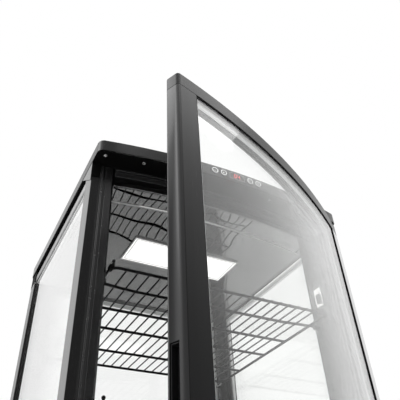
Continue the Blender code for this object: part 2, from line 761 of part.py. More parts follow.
def standard_slots(strip_obj, tag, middle):
    """Two staggered rows' worth of slots punched through an upright."""
    count, first, pitch, tall = SLOTS
    for i in range(count):
        z = first + i * pitch + (SLOT_STAGGER if i % 2 else 0.0)
        slot = box("slot_%s_%d" % (tag, i), (-WIDTH, middle - SLOT_HALF, z),
                   (WIDTH, middle + SLOT_HALF, z + tall))
        boolean(strip_obj, slot, "DIFFERENCE")


def build_standard(end, side):
    """A slotted upright on a post's inner face, with a seat peg under each shelf."""
    tag = "%s_%s" % (end, "left" if side < 0 else "right")
    inner = BODY_W / 2 - POST_W - GAP
    y0, y1 = STANDARD_Y[end]
    lo, hi = sorted((side * inner, side * (inner - STANDARD_T)))
    strip_obj = box("standard_" + tag, (lo, y0, DECK_TOP + 0.002),
                    (hi, y1, HEADER_BOTTOM - 0.002))
    near, far = sorted((side * (inner - 0.0010), side * (SHELF_X - 0.0030)))
    for i, z in enumerate(SHELF_TOPS):
        top = z - RAIL_R - GAP
        peg = box("peg_%s_%d" % (tag, i), (near, SEAT_Y[end][0], top - SEAT_T),
                  (far, SEAT_Y[end][1], top))
        boolean(strip_obj, peg, "UNION")
    standard_slots(strip_obj, tag, (y0 + y1) / 2)
    place(strip_obj, "zinc_steel")


def build_standards():
    for end in ("front", "rear"):
        build_standard(end, -1)
        build_standard(end, 1)


def build_light_switch():
    """Rocker on the inner face of the right front post."""
    x = BODY_W / 2 - POST_W - GAP
    plate = box("switch_plate", (x - SWITCH_T, SWITCH_Y[0], SWITCH_Z - SWITCH_HALF_H),
                (x, SWITCH_Y[1], SWITCH_Z + SWITCH_HALF_H))
    opening = box("rocker_opening", (x - 0.004, ROCKER_Y[0], ROCKER_Z[0]),
                  (x - 0.0004, ROCKER_Y[1], ROCKER_Z[1]))
    place(boolean(plate, opening, "DIFFERENCE"), "zinc_steel")
    pivot = bpy.data.objects.new("rocker_axis", None)
    pivot.location = (x - 0.0026, sum(ROCKER_Y) / 2, sum(ROCKER_Z) / 2)
    AXES.append(pivot)
    PARTS.objects.link(pivot)
    half = Vector(ROCKER_HALF)
    rocker = box("switch_rocker", -half, half)
    place(rounded(rocker, 0.0008, 2), "black_plastic", pivot)


# ---- door ---------------------------------------------------------------------------
def door_strip(x0, x1, near, far, steps=24):
    """Bowed outline whose end faces stay parallel to the cabinet's sides."""
    xs = [x0 + (x1 - x0) * i / steps for i in range(steps + 1)]
    front = [(x, DOOR_FRONT - bow(x, DOOR_W, DOOR_BOW) + near) for x in xs]
    return front + [(x, y + far - near) for x, y in front[::-1]]


def round_ends(outline, sides=(-1, 1)):
    """Round the outline's corners at the door's free and hinge edges."""
    centre = sum((Vector(p) for p in outline), Vector((0, 0))) / len(outline)
    points = []
    count = len(outline)
    for i in range(count):
        here = Vector(outline[i])
        into = (Vector(outline[i - 1]) - here).normalized()
        out = (Vector(outline[(i + 1) % count]) - here).normalized()
        square = abs(into.dot(out)) < 0.5
        if not square or (1 if here.x > centre.x else -1) not in sides:
            points.append(tuple(here))
            continue
        pivot = here + (into + out) * DOOR_ROUND
        for step in range(5):
            turn = step / 4
            spoke = (-out * (1 - turn) - into * turn).normalized()
            points.append(tuple(pivot + spoke * DOOR_ROUND))
    return points


def stile_plan(side):
    """Plan of one door stile, rounded on its outer edge only."""
    x0, x1 = sorted((side * DOOR_W / 2, side * (DOOR_W / 2 - STILE_W)))
    return round_ends(door_strip(x0, x1, 0, DOOR_T, 4), (side,))


def build_door():
    """Door pieces in the closed position, hung on an empty on the hinge axis."""
    hinge = bpy.data.objects.new("door_hinge_axis", None)
    hinge.location = HINGE
    hinge.rotation_euler = (0, 0, DOOR_REST)
    AXES.append(hinge)
    PARTS.objects.link(hinge)
    half = DOOR_W / 2

    def hang(obj, finish):
        obj.data.transform(Matrix.Translation(-HINGE))
        return place(obj, finish, hinge)

    def tool(obj):
        obj.data.transform(Matrix.Translation(-HINGE))
        obj.parent = hinge
        return obj

    stile_z = (DOOR_BOTTOM + RAIL_BOTTOM_H + GAP, DOOR_TOP - RAIL_TOP_H - GAP)
    free = prism("door_stile_free", stile_plan(-1), *stile_z)
    boolean(free, tool(box("pull_pocket", (-half - CUT, PULL_Y[0], PULL_Z[0]),
                           (-half + PULL_DEPTH, PULL_Y[1], PULL_Z[1]))), "DIFFERENCE")
    lock_x, lock_z = LOCK_AT
    boolean(free, tool(rod("lock_bore", LOCK_BORE, (lock_x, -DEPTH, lock_z),
                           (lock_x, DEPTH, lock_z), 24)), "DIFFERENCE")
    hang(free, "frame_black")
    hang(prism("door_stile_hinge", stile_plan(1), *stile_z), "frame_black")

    for name, z0, z1, pin_z in (("door_rail_top", DOOR_TOP - RAIL_TOP_H, DOOR_TOP, DOOR_TOP),
                                ("door_rail_bottom", DOOR_BOTTOM,
                                 DOOR_BOTTOM + RAIL_BOTTOM_H, DOOR_BOTTOM)):
        rail = prism(name, round_ends(door_strip(-half, half, 0, DOOR_T)), z0, z1)
        bore = rod(name + "_bore", PIN_BORE, (HINGE.x, HINGE.y, pin_z - PIN_HOLE),
                   (HINGE.x, HINGE.y, pin_z + PIN_HOLE), 32)
        hang(boolean(rail, tool(bore), "DIFFERENCE"), "frame_black")

    x = half - STILE_W - GAP
    z0, z1 = stile_z[0] + GAP, stile_z[1] - GAP
    for layer, near in zip(("outer", "inner"), DOOR_PANE_AT):
        hang(prism("door_glass_" + layer, door_strip(-x, x, near, near + PANE), z0, z1, True),
             "clear_glass")
    spacer = prism("door_glass_spacer", door_strip(-x, x, *DOOR_SPACER_AT), z0, z1)
    opening = prism("door_spacer_window",
                    door_strip(-x + DOOR_SPACER_W, x - DOOR_SPACER_W, -CUT, 3 * CUT),
                    z0 + DOOR_SPACER_W, z1 - DOOR_SPACER_W)
    hang(boolean(spacer, tool(opening), "DIFFERENCE"), "spacer_aluminium")

    seal = prism("door_seal", door_strip(-SEAL_X, SEAL_X, DOOR_T + GAP, DOOR_T + SEAL_T),
                 *SEAL_Z)
    x = SEAL_X - SEAL_W
    window = prism("door_seal_window", door_strip(-x, x, CUT, 3 * CUT),
                   SEAL_Z[0] + SEAL_LIP, SEAL_Z[1] - SEAL_LIP)
    hang(boolean(seal, tool(window), "DIFFERENCE"), "seal_rubber")

    lock = rod("lock_barrel", LOCK_R, (lock_x, LOCK_Y[0], lock_z),
               (lock_x, LOCK_Y[1], lock_z), 24)
    slot_x, slot_z = KEY_HALF
    key_slot = box("key_slot", (lock_x - slot_x, -BOW, lock_z - slot_z),
                   (lock_x + slot_x, -0.001, lock_z + slot_z))
    hang(boolean(lock, tool(key_slot), "DIFFERENCE"), "zinc_steel")


def build_hinges():
    """A plate under the canopy and one on the base, each with a pin in the door."""
    top_z = HEIGHT - CANOPY_H - GAP
    low_z = BASE_TOP + GAP
    x0, x1, y0, y1 = HINGE_PLATE
    for name, z0, z1, pin in (("hinge_top", top_z - HINGE_TOP_T, top_z,
                               (top_z - 0.0010, DOOR_TOP - PIN_IN_DOOR)),
                              ("hinge_bottom", low_z, low_z + HINGE_BOTTOM_T,
                               (low_z + 0.0017, DOOR_BOTTOM + PIN_IN_DOOR))):
        plate = box(name, (x0, y0, z0), (x1, y1, z1))
        pin_obj = rod(name + "_pin", PIN_R, (HINGE.x, HINGE.y, pin[0]),
                      (HINGE.x, HINGE.y, pin[1]), 24)
        place(boolean(plate, pin_obj, "UNION"), "zinc_steel")


# ---- assembly -----------------------------------------------------------------------
def centre_on_floor():
    """Move everything so the bounding box's bottom centre is the origin."""
    bpy.context.view_layer.update()
    deps = bpy.context.evaluated_depsgraph_get()
    low = Vector((1e9, 1e9, 1e9))
    high = -low
    for obj in PARTS.objects:
        if obj.type != "MESH":
            continue
        evaluated = obj.evaluated_get(deps)
        for vertex in evaluated.data.vertices:
            world = evaluated.matrix_world @ vertex.co
            low = Vector(map(min, low, world))
            high = Vector(map(max, high, world))
    shift = Vector((-(low.x + high.x) / 2, -(low.y + high.y) / 2, -low.z))
    for obj in list(PARTS.objects) + list(TOOLS.objects):
        if obj.parent is None:
            obj.location += shift


clear_scene()
PARTS = new_collection("glass_door_merchandiser")
TOOLS = new_collection("cutters")
AXES = []
build_base()
build_front_grille()
build_rear_vent()
build_refrigeration()
build_deck()
build_posts()
build_header()
build_canopy()
build_controls()
build_light()
build_glazing()
build_shelves()
build_standards()
build_light_switch()
build_door()
build_hinges()
centre_on_floor()
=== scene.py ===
"""Looks of a countertop glass door merchandiser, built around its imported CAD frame.

Metres, in the row frame: +Z up, front towards -Y.  Heights and places come from the CAD
nodes' boxes.  `at(x, y, z)` measures as the cabinet is drawn: x from its centre line, y
behind the line through the canopy's front corners, z up from the floor.  Door pieces are
modelled closed and then swung open to the stored angle.
"""
import json
import math

import bmesh
import bpy
from mathutils import Matrix, Vector

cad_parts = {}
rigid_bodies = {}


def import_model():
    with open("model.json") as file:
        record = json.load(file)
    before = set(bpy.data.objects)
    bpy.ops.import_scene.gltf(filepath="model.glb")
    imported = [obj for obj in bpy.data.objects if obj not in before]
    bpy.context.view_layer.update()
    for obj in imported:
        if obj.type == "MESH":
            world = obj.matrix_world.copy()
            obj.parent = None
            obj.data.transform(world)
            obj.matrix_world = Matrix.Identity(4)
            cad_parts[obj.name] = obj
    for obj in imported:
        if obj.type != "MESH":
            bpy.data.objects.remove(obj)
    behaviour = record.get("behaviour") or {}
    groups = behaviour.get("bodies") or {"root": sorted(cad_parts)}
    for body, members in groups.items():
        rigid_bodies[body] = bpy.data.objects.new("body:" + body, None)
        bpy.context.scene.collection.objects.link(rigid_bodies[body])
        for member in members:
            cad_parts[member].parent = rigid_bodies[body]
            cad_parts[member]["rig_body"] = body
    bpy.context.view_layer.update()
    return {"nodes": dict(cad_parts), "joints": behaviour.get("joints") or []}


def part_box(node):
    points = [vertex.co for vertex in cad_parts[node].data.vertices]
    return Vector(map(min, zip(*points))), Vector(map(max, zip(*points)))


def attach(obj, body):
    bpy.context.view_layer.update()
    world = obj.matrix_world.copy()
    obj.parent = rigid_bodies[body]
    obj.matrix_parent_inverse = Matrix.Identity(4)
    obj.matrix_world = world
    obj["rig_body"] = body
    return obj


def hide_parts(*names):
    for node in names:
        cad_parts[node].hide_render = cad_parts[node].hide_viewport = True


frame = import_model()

# ---- the frame's own sizes
CANOPY_LOW, CANOPY_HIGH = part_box("canopy_shell")
CANOPY_BOW = 0.023
BODY_BOW = 0.022
CENTRE_X = (CANOPY_LOW.x + CANOPY_HIGH.x) / 2
DATUM_Y = CANOPY_LOW.y + CANOPY_BOW
WIDTH = CANOPY_HIGH.x - CANOPY_LOW.x
TOP = CANOPY_HIGH.z
SOFFIT = CANOPY_LOW.z
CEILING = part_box("ceiling_panel")[0].z
DECK_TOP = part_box("deck")[1].z
POST_LOW, POST_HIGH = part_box("post_front_left")
BODY_W = 2 * (CENTRE_X - POST_LOW.x)
POST_W = POST_HIGH.x - POST_LOW.x
BODY_FRONT = 0.0305
GAP = 0.0003
CORNERS = ("front_left", "front_right", "rear_left", "rear_right")
JOINTS = {joint["name"]: joint for joint in frame["joints"]}
HINGE = Vector((*JOINTS["door_hinge"]["pos_m"][:2], 0.0))
DOOR_REST = -math.radians(JOINTS["door_hinge"]["range_deg"][0])
DOOR_SWING = Matrix.Translation(HINGE) @ Matrix.Rotation(DOOR_REST, 4, "Z") @ Matrix.Translation(-HINGE)
DOOR_W = 0.428
DOOR_BOW = 0.0201
DOOR_FRONT = 0.002
DOOR_T = 0.021
STILE_W = 0.0288
DOOR_LOW_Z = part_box("door_rail_bottom")[0].z
DOOR_HIGH_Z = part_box("door_rail_top")[1].z


def at(x, y, z):
    """A point from the cabinet's own layout, in the row frame."""
    return Vector((CENTRE_X + x, DATUM_Y + y, z))


def bow(x, chord, rise):
    """How far an arc over the chord stands out at x."""
    radius = (chord * chord / 4 + rise * rise) / (2 * rise)
    return math.sqrt(radius * radius - x * x) - (radius - rise)


def body_line(x, back):
    """y of the cabinet's bowed front at x, moved back."""
    return BODY_FRONT - bow(x, BODY_W, BODY_BOW) + back


def door_line(x, back):
    return DOOR_FRONT - bow(x, DOOR_W, DOOR_BOW) + back


def beside(face, way, near, far):
    """Low and high ends of a span that lies between two distances from a face."""
    return sorted((face + way * near, face + way * far))


def spread(first, last, steps):
    return [first + (last - first) * i / steps for i in range(steps + 1)]


# ---- materials
def grey(value):
    return (value, value, value)


def shade(colour, change):
    return tuple(c * change for c in colour)


class Nodes:
    """Short names for building the nodes of one material, or of the world."""

    def __init__(self, name, world=None):
        self.mat = world or bpy.data.materials.new(name)
        self.mat.use_nodes = True
        self.tree = self.mat.node_tree
        self.bsdf = self.tree.nodes.get("Principled BSDF")
        self.coords = self.node("TexCoord").outputs["Object"]

    def node(self, kind, inputs=(), **values):
        made = self.tree.nodes.new("ShaderNode" + kind)
        for key, value in values.items():
            setattr(made, key, value)
        for key, value in dict(inputs).items():
            made.inputs[key].default_value = value
        return made

    def link(self, source, target):
        self.tree.links.new(source, target)

    def set(self, **values):
        for key, value in values.items():
            self.bsdf.inputs[key.replace("_", " ")].default_value = value

    def noise(self, scale, detail=4.0, rough=0.5, stretch=(1, 1, 1)):
        mapping = self.node("Mapping", {"Scale": stretch})
        self.link(self.coords, mapping.inputs["Vector"])
        noise = self.node("TexNoise", {"Scale": scale, "Detail": detail, "Roughness": rough})
        self.link(mapping.outputs["Vector"], noise.inputs["Vector"])
        return noise.outputs["Fac"]

    def range(self, source, low, high):
        scaled = self.node("MapRange", {"To Min": low, "To Max": high})
        self.link(source, scaled.inputs["Value"])
        return scaled.outputs["Result"]

    def mix(self, factor, first, second):
        mix = self.node("Mix", data_type="RGBA")
        self.link(factor, mix.inputs["Factor"])
        for socket, value in ((mix.inputs["A"], first), (mix.inputs["B"], second)):
            if isinstance(value, tuple):
                socket.default_value = (*value, 1.0)
            else:
                self.link(value, socket)
        return mix.outputs["Result"]

    def edge_mask(self, radius):
        """1 where an edge is near, from a rounded normal against the true one."""
        bevel = self.node("Bevel", {"Radius": radius}, samples=4)
        geometry = self.node("NewGeometry")
        dot = self.node("VectorMath", operation="DOT_PRODUCT")
        self.link(bevel.outputs["Normal"], dot.inputs[0])
        self.link(geometry.outputs["Normal"], dot.inputs[1])
        mask = self.node("MapRange", {"From Min": 1.0, "From Max": 0.86})
        self.link(dot.outputs["Value"], mask.inputs["Value"])
        return mask.outputs["Result"]

    def bump(self, height, distance, invert=False):
        bump = self.node("Bump", {"Strength": 1.0, "Distance": distance}, invert=invert)
        self.link(height, bump.inputs["Height"])
        self.link(bump.outputs["Normal"], self.bsdf.inputs["Normal"])

    def colour(self, source):
        self.link(source, self.bsdf.inputs["Base Color"])

    def mottle(self, colour, change, scale, detail=3):
        """Base colour in soft patches that fade to a lighter or darker shade."""
        self.colour(self.mix(self.noise(scale, detail), colour, shade(colour, change)))

    def roughness(self, source):
        self.link(source, self.bsdf.inputs["Roughness"])


def moulded_plastic(name, colour, rough, grain=0.00003, specular=0.5):
    """Fine spark-eroded texture, with soft uneven gloss and handling scuffs."""
    m = Nodes(name)
    m.set(Specular_IOR_Level=specular)
    m.mottle(colour, 1.35, 14)
    m.roughness(m.range(m.noise(60, 6, 0.7), rough - 0.06, rough + 0.08))
    m.bump(m.noise(1500, 2), grain)
    return m.mat


def extruded_frame(name, colour, rough, along=(1, 1, 0.02), specular=0.5, lacquer=0.0):
    """Satin black extrusion: faint die lines along it, and its colour lighter near its edges."""
    m = Nodes(name)
    m.set(Specular_IOR_Level=specular, Coat_Weight=lacquer, Coat_Roughness=0.12)
    lines = m.noise(900, 3, 0.6, along)
    lighter_edges = tuple(c * 1.8 + 0.012 for c in colour)
    base = m.mix(m.noise(9, 3), colour, shade(colour, 1.25))
    # colour made lighter near edges, from the bevel mask
    m.colour(m.mix(m.edge_mask(0.0006), base, lighter_edges))
    m.roughness(m.range(lines, rough - 0.006, rough + 0.008))
    m.bump(m.noise(1400, 2), 0.000003)
    return m.mat


def powder_coat(name, colour, rough):
    m = Nodes(name)
    m.mottle(colour, 1.3, 11)
    m.roughness(m.range(m.noise(90, 5), rough - 0.05, rough + 0.08))
    m.bump(m.noise(700, 2, 0.4), 0.00006)
    return m.mat


def metal(name, colour, rough, brushed=(1, 1, 1), grime=0.8):
    """Drawn or brushed metal: fine lines in its gloss, and duller patches."""
    m = Nodes(name)
    m.set(Metallic=1.0)
    lines = m.noise(500, 4, 0.6, brushed)
    m.mottle(colour, grime, 18, 4)
    m.roughness(m.range(lines, rough - 0.06, rough + 0.08))
    m.bump(lines, 0.00001)
    return m.mat


DARK_UNTIL = -0.05          # painted reflection: the mirror sheet's colour is darkest left of this, from the centre line,
BRIGHT_FROM = 0.06          # and brightest right of this


def mirror_sheet(name, colour, rough):
    """Thin polished sheet: sharp reflections that its slight unevenness bends, and painted reflection
    that makes its colour brighter from left to right.
    """
    m = Nodes(name)
    m.set(Metallic=1.0)
    place = m.node("SeparateXYZ")
    m.link(m.coords, place.inputs["Vector"])
    ends = {"From Min": CENTRE_X + DARK_UNTIL, "From Max": CENTRE_X + BRIGHT_FROM}
    across = m.node("MapRange", ends)
    m.link(place.outputs["X"], across.inputs["Value"])
    bright = shade(colour, 2.1)
    # painted reflection: colour ramps from dark on the left to bright on the right, with random bright
    # patches
    m.colour(m.mix(m.noise(6, 3), m.mix(across.outputs["Result"], colour, bright), bright))
    m.roughness(m.range(m.noise(40, 3), rough - 0.004, rough + 0.006))
    m.bump(m.noise(11, 1, 0.4), 0.0016, invert=True)
    return m.mat


PANE_HAZE = 0.01


def pane(name, tint, head_on, falloff=5.0, grazing=1.0):
    """A thin glass sheet: clear head on, mirroring more and more towards grazing."""
    m = Nodes(name)
    facing = m.node("LayerWeight").outputs["Facing"]
    power = m.node("Math", {1: falloff}, operation="POWER")
    m.link(facing, power.inputs[0])
    reflect = m.range(power.outputs["Value"], head_on, grazing)
    clear = m.node("BsdfTransparent", {"Color": (*tint, 1.0)})
    gloss = m.node("BsdfGlossy", {"Color": (1.0, 1.0, 1.0, 1.0), "Roughness": PANE_HAZE})
    mix = m.node("MixShader")
    m.link(reflect, mix.inputs["Fac"])
    m.link(clear.outputs["BSDF"], mix.inputs[1])
    m.link(gloss.outputs["BSDF"], mix.inputs[2])
    output = m.tree.nodes["Material Output"]
    m.link(mix.outputs["Shader"], output.inputs["Surface"])
    m.tree.nodes.remove(m.bsdf)
    return m.mat


def rubber(name, colour, rough):
    m = Nodes(name)
    m.set(Specular_IOR_Level=0.35)
    m.mottle(colour, 1.6, 40, 4)
    m.roughness(m.range(m.noise(200, 3), rough - 0.08, rough + 0.1))
    m.bump(m.noise(900, 3), 0.00004)
    return m.mat


def glowing(name, colour, strength, body=(0.9, 0.9, 0.9)):
    m = Nodes(name)
    m.set(Emission_Color=(*colour, 1.0), Emission_Strength=strength, Roughness=0.35)
    m.mottle(body, 0.94, 50)
    m.roughness(m.range(m.noise(300, 2), 0.28, 0.4))
    return m.mat


CANOPY_BLACK = moulded_plastic("canopy_black", (0.005, 0.005, 0.0051), 0.20, 0.00001, 0.6)
SOFFIT_BLACK = moulded_plastic("soffit_black", grey(0.003), 0.60, 0.00001, 0.06)
TRIM_BLACK = moulded_plastic("trim_black", (0.008, 0.008, 0.0085), 0.38)
# painted shade: a darker, duller copy of the black finish for lips, undersides and edge faces in shade;
# the clips and glazing beads are simply black
BLACK_AND_PAINTED_SHADE = moulded_plastic("black_and_painted_shade", grey(0.002), 0.50, specular=0.05)
FRAME_BLACK = extruded_frame("frame_black", (0.007, 0.007, 0.0072), 0.26)
DOOR_BLACK = extruded_frame("door_black", (0.006, 0.006, 0.0062), 0.27, specular=0.32)
# painted light: a lighter copy of the door's black for the free stile's edge faces
EDGE_PAINTED_LIGHT = extruded_frame("edge_painted_light", (0.021, 0.021, 0.0215), 0.27, specular=0.5)
# painted light: a lighter, lacquered copy of the door's black for the hinge stile
HINGE_SIDE_PAINTED_LIGHT = extruded_frame("hinge_side_painted_light", (0.012, 0.012, 0.0123), 0.16, lacquer=1.0)
RAIL_BLACK = extruded_frame("rail_black", (0.006, 0.006, 0.0062), 0.27, (0.02, 1, 1), 0.34)
POST_BLACK = extruded_frame("post_black", (0.004, 0.004, 0.0041), 0.24, specular=0.4)
# painted light: a lighter copy of the post's black for the seat inside its ribs
POST_SEAT_PAINTED_LIGHT = extruded_frame("post_seat_painted_light", (0.008, 0.008, 0.0082), 0.24, specular=0.8)
# painted light: a lighter, glossier copy of the black frame finish for the header's seat ribs
HEADER_SEAT_PAINTED_LIGHT = extruded_frame("header_seat_painted_light", (0.016, 0.016, 0.0163), 0.24, (0.02, 1, 1), 1.0)
SHELL_BLACK = powder_coat("shell_black", (0.010, 0.010, 0.0103), 0.34)
CEILING_STEEL = mirror_sheet("ceiling_steel", grey(0.150), 0.010)
SEAM_STEEL = metal("seam_steel", grey(0.75), 0.35, (0.05, 1, 1))
CLEAR_PANE = pane("clear_pane", (0.996, 0.998, 0.996), 0.028)
SIDE_PANE = pane("side_pane", (0.996, 0.998, 0.996), 0.05, 2.6)
DOOR_PANE = pane("door_pane", (0.995, 0.997, 0.995), 0.041, 6.2, 1.6)
SPACER_METAL = moulded_plastic("spacer_grey", grey(0.68), 0.40, 0.0)
# painted light: a lighter copy of the spacer grey, for spacers seen through clear panes
SPACER_PAINTED_LIGHT = moulded_plastic("spacer_painted_light", grey(0.88), 0.30, 0.0)
TRIM_METAL = metal("trim_metal", grey(0.50), 0.30, (1, 0.05, 1))
# painted light: glows so that downward rail faces read near white though little light reaches them
TRIM_PAINTED_GLOW = glowing("trim_painted_glow", grey(1.0), 0.40, grey(0.86))
# painted highlight: a lighter, glossier black for the thin lines along the posts' ribs
POST_RIB_HIGHLIGHT = moulded_plastic("post_rib_highlight", (0.020, 0.020, 0.0205), 0.25, 0.0, 0.9)
# painted light: a lighter, glossier copy of the black for the posts' outer sides and gussets
POST_SIDE_PAINTED_LIGHT = moulded_plastic("post_side_painted_light", (0.012, 0.012, 0.0122), 0.10, 0.0, 1.0)
SEAL_BLACK = rubber("seal_black", grey(0.008), 0.65)
WIRE_BLACK = metal("wire_black", (0.022, 0.022, 0.023), 0.36, grime=0.7)
ZINC = metal("zinc", grey(0.62), 0.34, (1, 1, 0.05))
BRIGHT_STEEL = metal("bright_steel", grey(0.85), 0.18)
COPPER = metal("copper_tube", (0.62, 0.30, 0.17), 0.28)
FIN_METAL = metal("fin_metal", (0.66, 0.66, 0.67), 0.33, (1, 1, 0.05))
LENS = glowing("lens_glow", (1.0, 0.99, 0.97), 1.3)
LENS_RIM = glowing("lens_rim", (1.0, 0.99, 0.97), 0.25, grey(0.8))
DISPLAY_GLASS = moulded_plastic("display_glass", (0.020, 0.002, 0.002), 0.14, 0.0)
DIGIT_RED = glowing("digit_red", (1.0, 0.10, 0.11), 1.1, (0.5, 0.02, 0.02))
PRINT_GREY = moulded_plastic("print_grey", grey(0.30), 0.45, 0.0)
BUTTON_FACE = moulded_plastic("button_face", grey(0.02), 0.30)
BUTTON_RING = glowing("button_ring", grey(1.0), 0.35, grey(0.85))
FOOT_RUBBER = rubber("foot_rubber", grey(0.018), 0.75)
COMPRESSOR_PAINT = powder_coat("compressor_paint", grey(0.014), 0.42)


# ---- mesh helpers
def add_object(name, data):
    obj = bpy.data.objects.new(name, data)
    bpy.context.scene.collection.objects.link(obj)
    return obj


def finish_mesh(name, bm, mat, smooth=35, body="cabinet", swing=False, replaces=()):
    """Turn a bmesh into a finished piece that rides on a body."""
    bmesh.ops.recalc_face_normals(bm, faces=bm.faces)
    if swing:
        bmesh.ops.transform(bm, matrix=DOOR_SWING, verts=bm.verts)
    mesh = bpy.data.meshes.new(name)
    bm.to_mesh(mesh)
    bm.free()
    mesh.shade_smooth()
    mesh.set_sharp_from_angle(angle=math.radians(smooth))
    obj = add_object(name, mesh)
    mesh.materials.append(mat)
    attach(obj, body)
    if replaces:
        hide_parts(*replaces)
    return obj


def bevel_modifier(obj, width, segments=2):
    bevel = obj.modifiers.new("soft_edges", "BEVEL")
    bevel.width = width
    bevel.segments = segments
    bevel.limit_method = "ANGLE"
    bevel.angle_limit = math.radians(32)
    bevel.harden_normals = True


def refine(node, mat, width=0.0005, segments=2, smooth=32):
    """A CAD node with the same faces, its edges softened and its round faces smooth."""
    source = frame["nodes"][node]
    bm = bmesh.new()
    bm.from_mesh(source.data)
    bmesh.ops.remove_doubles(bm, verts=bm.verts, dist=0.000005)
    bmesh.ops.dissolve_limit(bm, angle_limit=math.radians(0.5), verts=bm.verts, edges=bm.edges)
    obj = finish_mesh("fine_" + node, bm, mat, smooth, source["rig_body"],
                      replaces=(node,))
    if width:
        bevel_modifier(obj, width, segments)
    return obj


def add_box(bm, low, high, bevel=0.0, segments=2):
    made = bmesh.ops.create_cube(bm, size=1.0)["verts"]
    size = Vector(high) - Vector(low)
    bmesh.ops.scale(bm, vec=size, verts=made)
    bmesh.ops.translate(bm, vec=(Vector(low) + Vector(high)) / 2, verts=made)
    if bevel:
        edges = {e for v in made for e in v.link_edges}
        bmesh.ops.bevel(bm, geom=list(edges), offset=bevel, segments=segments,
                        affect="EDGES", profile=0.5)


def loft(bm, rings):
    """Faces from each ring of points to the next, and over both ends."""
    rings = [[bm.verts.new(p) for p in ring] for ring in rings]
    join_rings(bm, rings)
    bm.faces.new(rings[0])
    bm.faces.new(rings[-1])


def join_rings(bm, rings):
    for near, far in zip(rings, rings[1:]):
        for k in range(len(near)):
            n = (k + 1) % len(near)
            bm.faces.new((near[k], near[n], far[n], far[k]))


def add_prism(bm, outline, z0, z1):
    loft(bm, [[(x, y, z) for x, y in outline] for z in (z0, z1)])


def circle(first, second, sides):
    """Points of a unit circle in the plane of two directions."""
    return [first * math.cos(a) + second * math.sin(a) for a in spread(0, 2 * math.pi, sides)[:-1]]


def upright(axis):
    """A guide direction that isn't along the axis."""
    return Vector((0, 0, 1)) if abs(axis.z) < 0.9 else Vector((1, 0, 0))


def add_tube(bm, points, radius, sides, closed=False):
    """A round wire through points, its ends domed, its rings kept from twisting."""
    points = [Vector(p) for p in points]
    count = len(points)
    rings = []
    normal = None
    for i, here in enumerate(points):
        before = points[i - 1] if (i or closed) else here
        after = points[(i + 1) % count] if (i < count - 1 or closed) else here
        tangent = (after - before).normalized()
        if normal is None:
            normal = tangent.cross(upright(tangent)).normalized()
        normal = (normal - tangent * normal.dot(tangent)).normalized()
        side = tangent.cross(normal)
        layers = [(0.0, 1.0)]
        if i == 0 and not closed:
            layers = [(-0.75, 0.35), (-0.45, 0.8)] + layers
        elif i == count - 1 and not closed:
            layers += [(0.45, 0.8), (0.75, 0.35)]
        for shift, scale in layers:
            centre = here + tangent * radius * shift
            rings.append([bm.verts.new(centre + p * radius * scale)
                          for p in circle(normal, side, sides)])
    if closed:
        rings.append(rings[0])
    else:
        bm.faces.new(rings[0])
        bm.faces.new(rings[-1])
    join_rings(bm, rings)


def add_lathe(bm, profile, start, axis, sides):
    """A turned piece: (radius, distance) pairs along an axis from start."""
    axis = Vector(axis).normalized()
    across = axis.cross(upright(axis)).normalized()
    side = axis.cross(across)
    rings = []
    for radius, along in profile:
        centre = Vector(start) + axis * along
        if radius < 1e-7:
            rings.append([bm.verts.new(centre)])
            continue
        rings.append([bm.verts.new(centre + p * radius) for p in circle(across, side, sides)])
    for near, far in zip(rings, rings[1:]):
        for k in range(sides):
            n = (k + 1) % sides
            if len(near) == 1:
                bm.faces.new((near[0], far[n], far[k]))
            elif len(far) == 1:
                bm.faces.new((near[k], near[n], far[0]))
            else:
                bm.faces.new((near[k], near[n], far[n], far[k]))


def add_strip(bm, xs, line, near, far, z0, z1):
    """A bowed bar between two distances behind a front line."""
    front = [at(x, line(x, near), 0).xy for x in xs]
    back = [at(x, line(x, far), 0).xy for x in reversed(xs)]
    add_prism(bm, front + back, z0, z1)


def arc(cx, cy, radius, start, end, steps=8):
    """(x, y) points of an arc, angles in degrees."""
    return [(cx + radius * math.cos(math.radians(a)), cy + radius * math.sin(math.radians(a)))
            for a in spread(start, end, steps)]


# ---- camera, light and floor
EYE_DROP = 0.5170133        # the eye is this far below the canopy's top
EYE_LEFT = 0.66045          # left of the centre line, as a share of that drop
EYE_AHEAD = 0.9564          # in front of the canopy's front corners, likewise
EYE_YAW = math.radians(30.0215)
EYE_PITCH = math.radians(38.8367)
EYE_ROLL = math.radians(-3.2732)
FOCAL_MM = 44.502


def build_camera():
    """Low, near the left front corner, looking up into the open cabinet."""
    camera = bpy.data.cameras.new("camera")
    camera.sensor_width = 36.0
    camera.lens = FOCAL_MM
    camera.clip_start = 0.01
    obj = add_object("camera", camera)
    turn = (Matrix.Rotation(-EYE_YAW, 4, "Z") @ Matrix.Rotation(EYE_PITCH + math.pi / 2, 4, "X")
            @ Matrix.Rotation(EYE_ROLL, 4, "Z"))
    place = at(-EYE_LEFT * EYE_DROP, -EYE_AHEAD * EYE_DROP, TOP - EYE_DROP)
    obj.matrix_world = Matrix.Translation(place) @ turn
    bpy.context.scene.camera = obj


def area_light(name, place, target, size, power, mirrored=True):
    """A soft box that shines at a target; mirrors may be kept from showing it."""
    light = bpy.data.lights.new(name, "AREA")
    light.shape = "RECTANGLE"
    light.size, light.size_y = size
    light.energy = power
    obj = add_object(name, light)
    obj.location = place
    obj.visible_glossy = mirrored
    obj.rotation_euler = (Vector(target) - Vector(place)).to_track_quat("-Z", "Y").to_euler()


DIM_SIDE = (-0.04, -1.0, -0.6)    # the studio is dim towards its open, low front
DIM_FROM = 0.02
DIM_FULL = 0.24
DIM_GLOW = 0.34


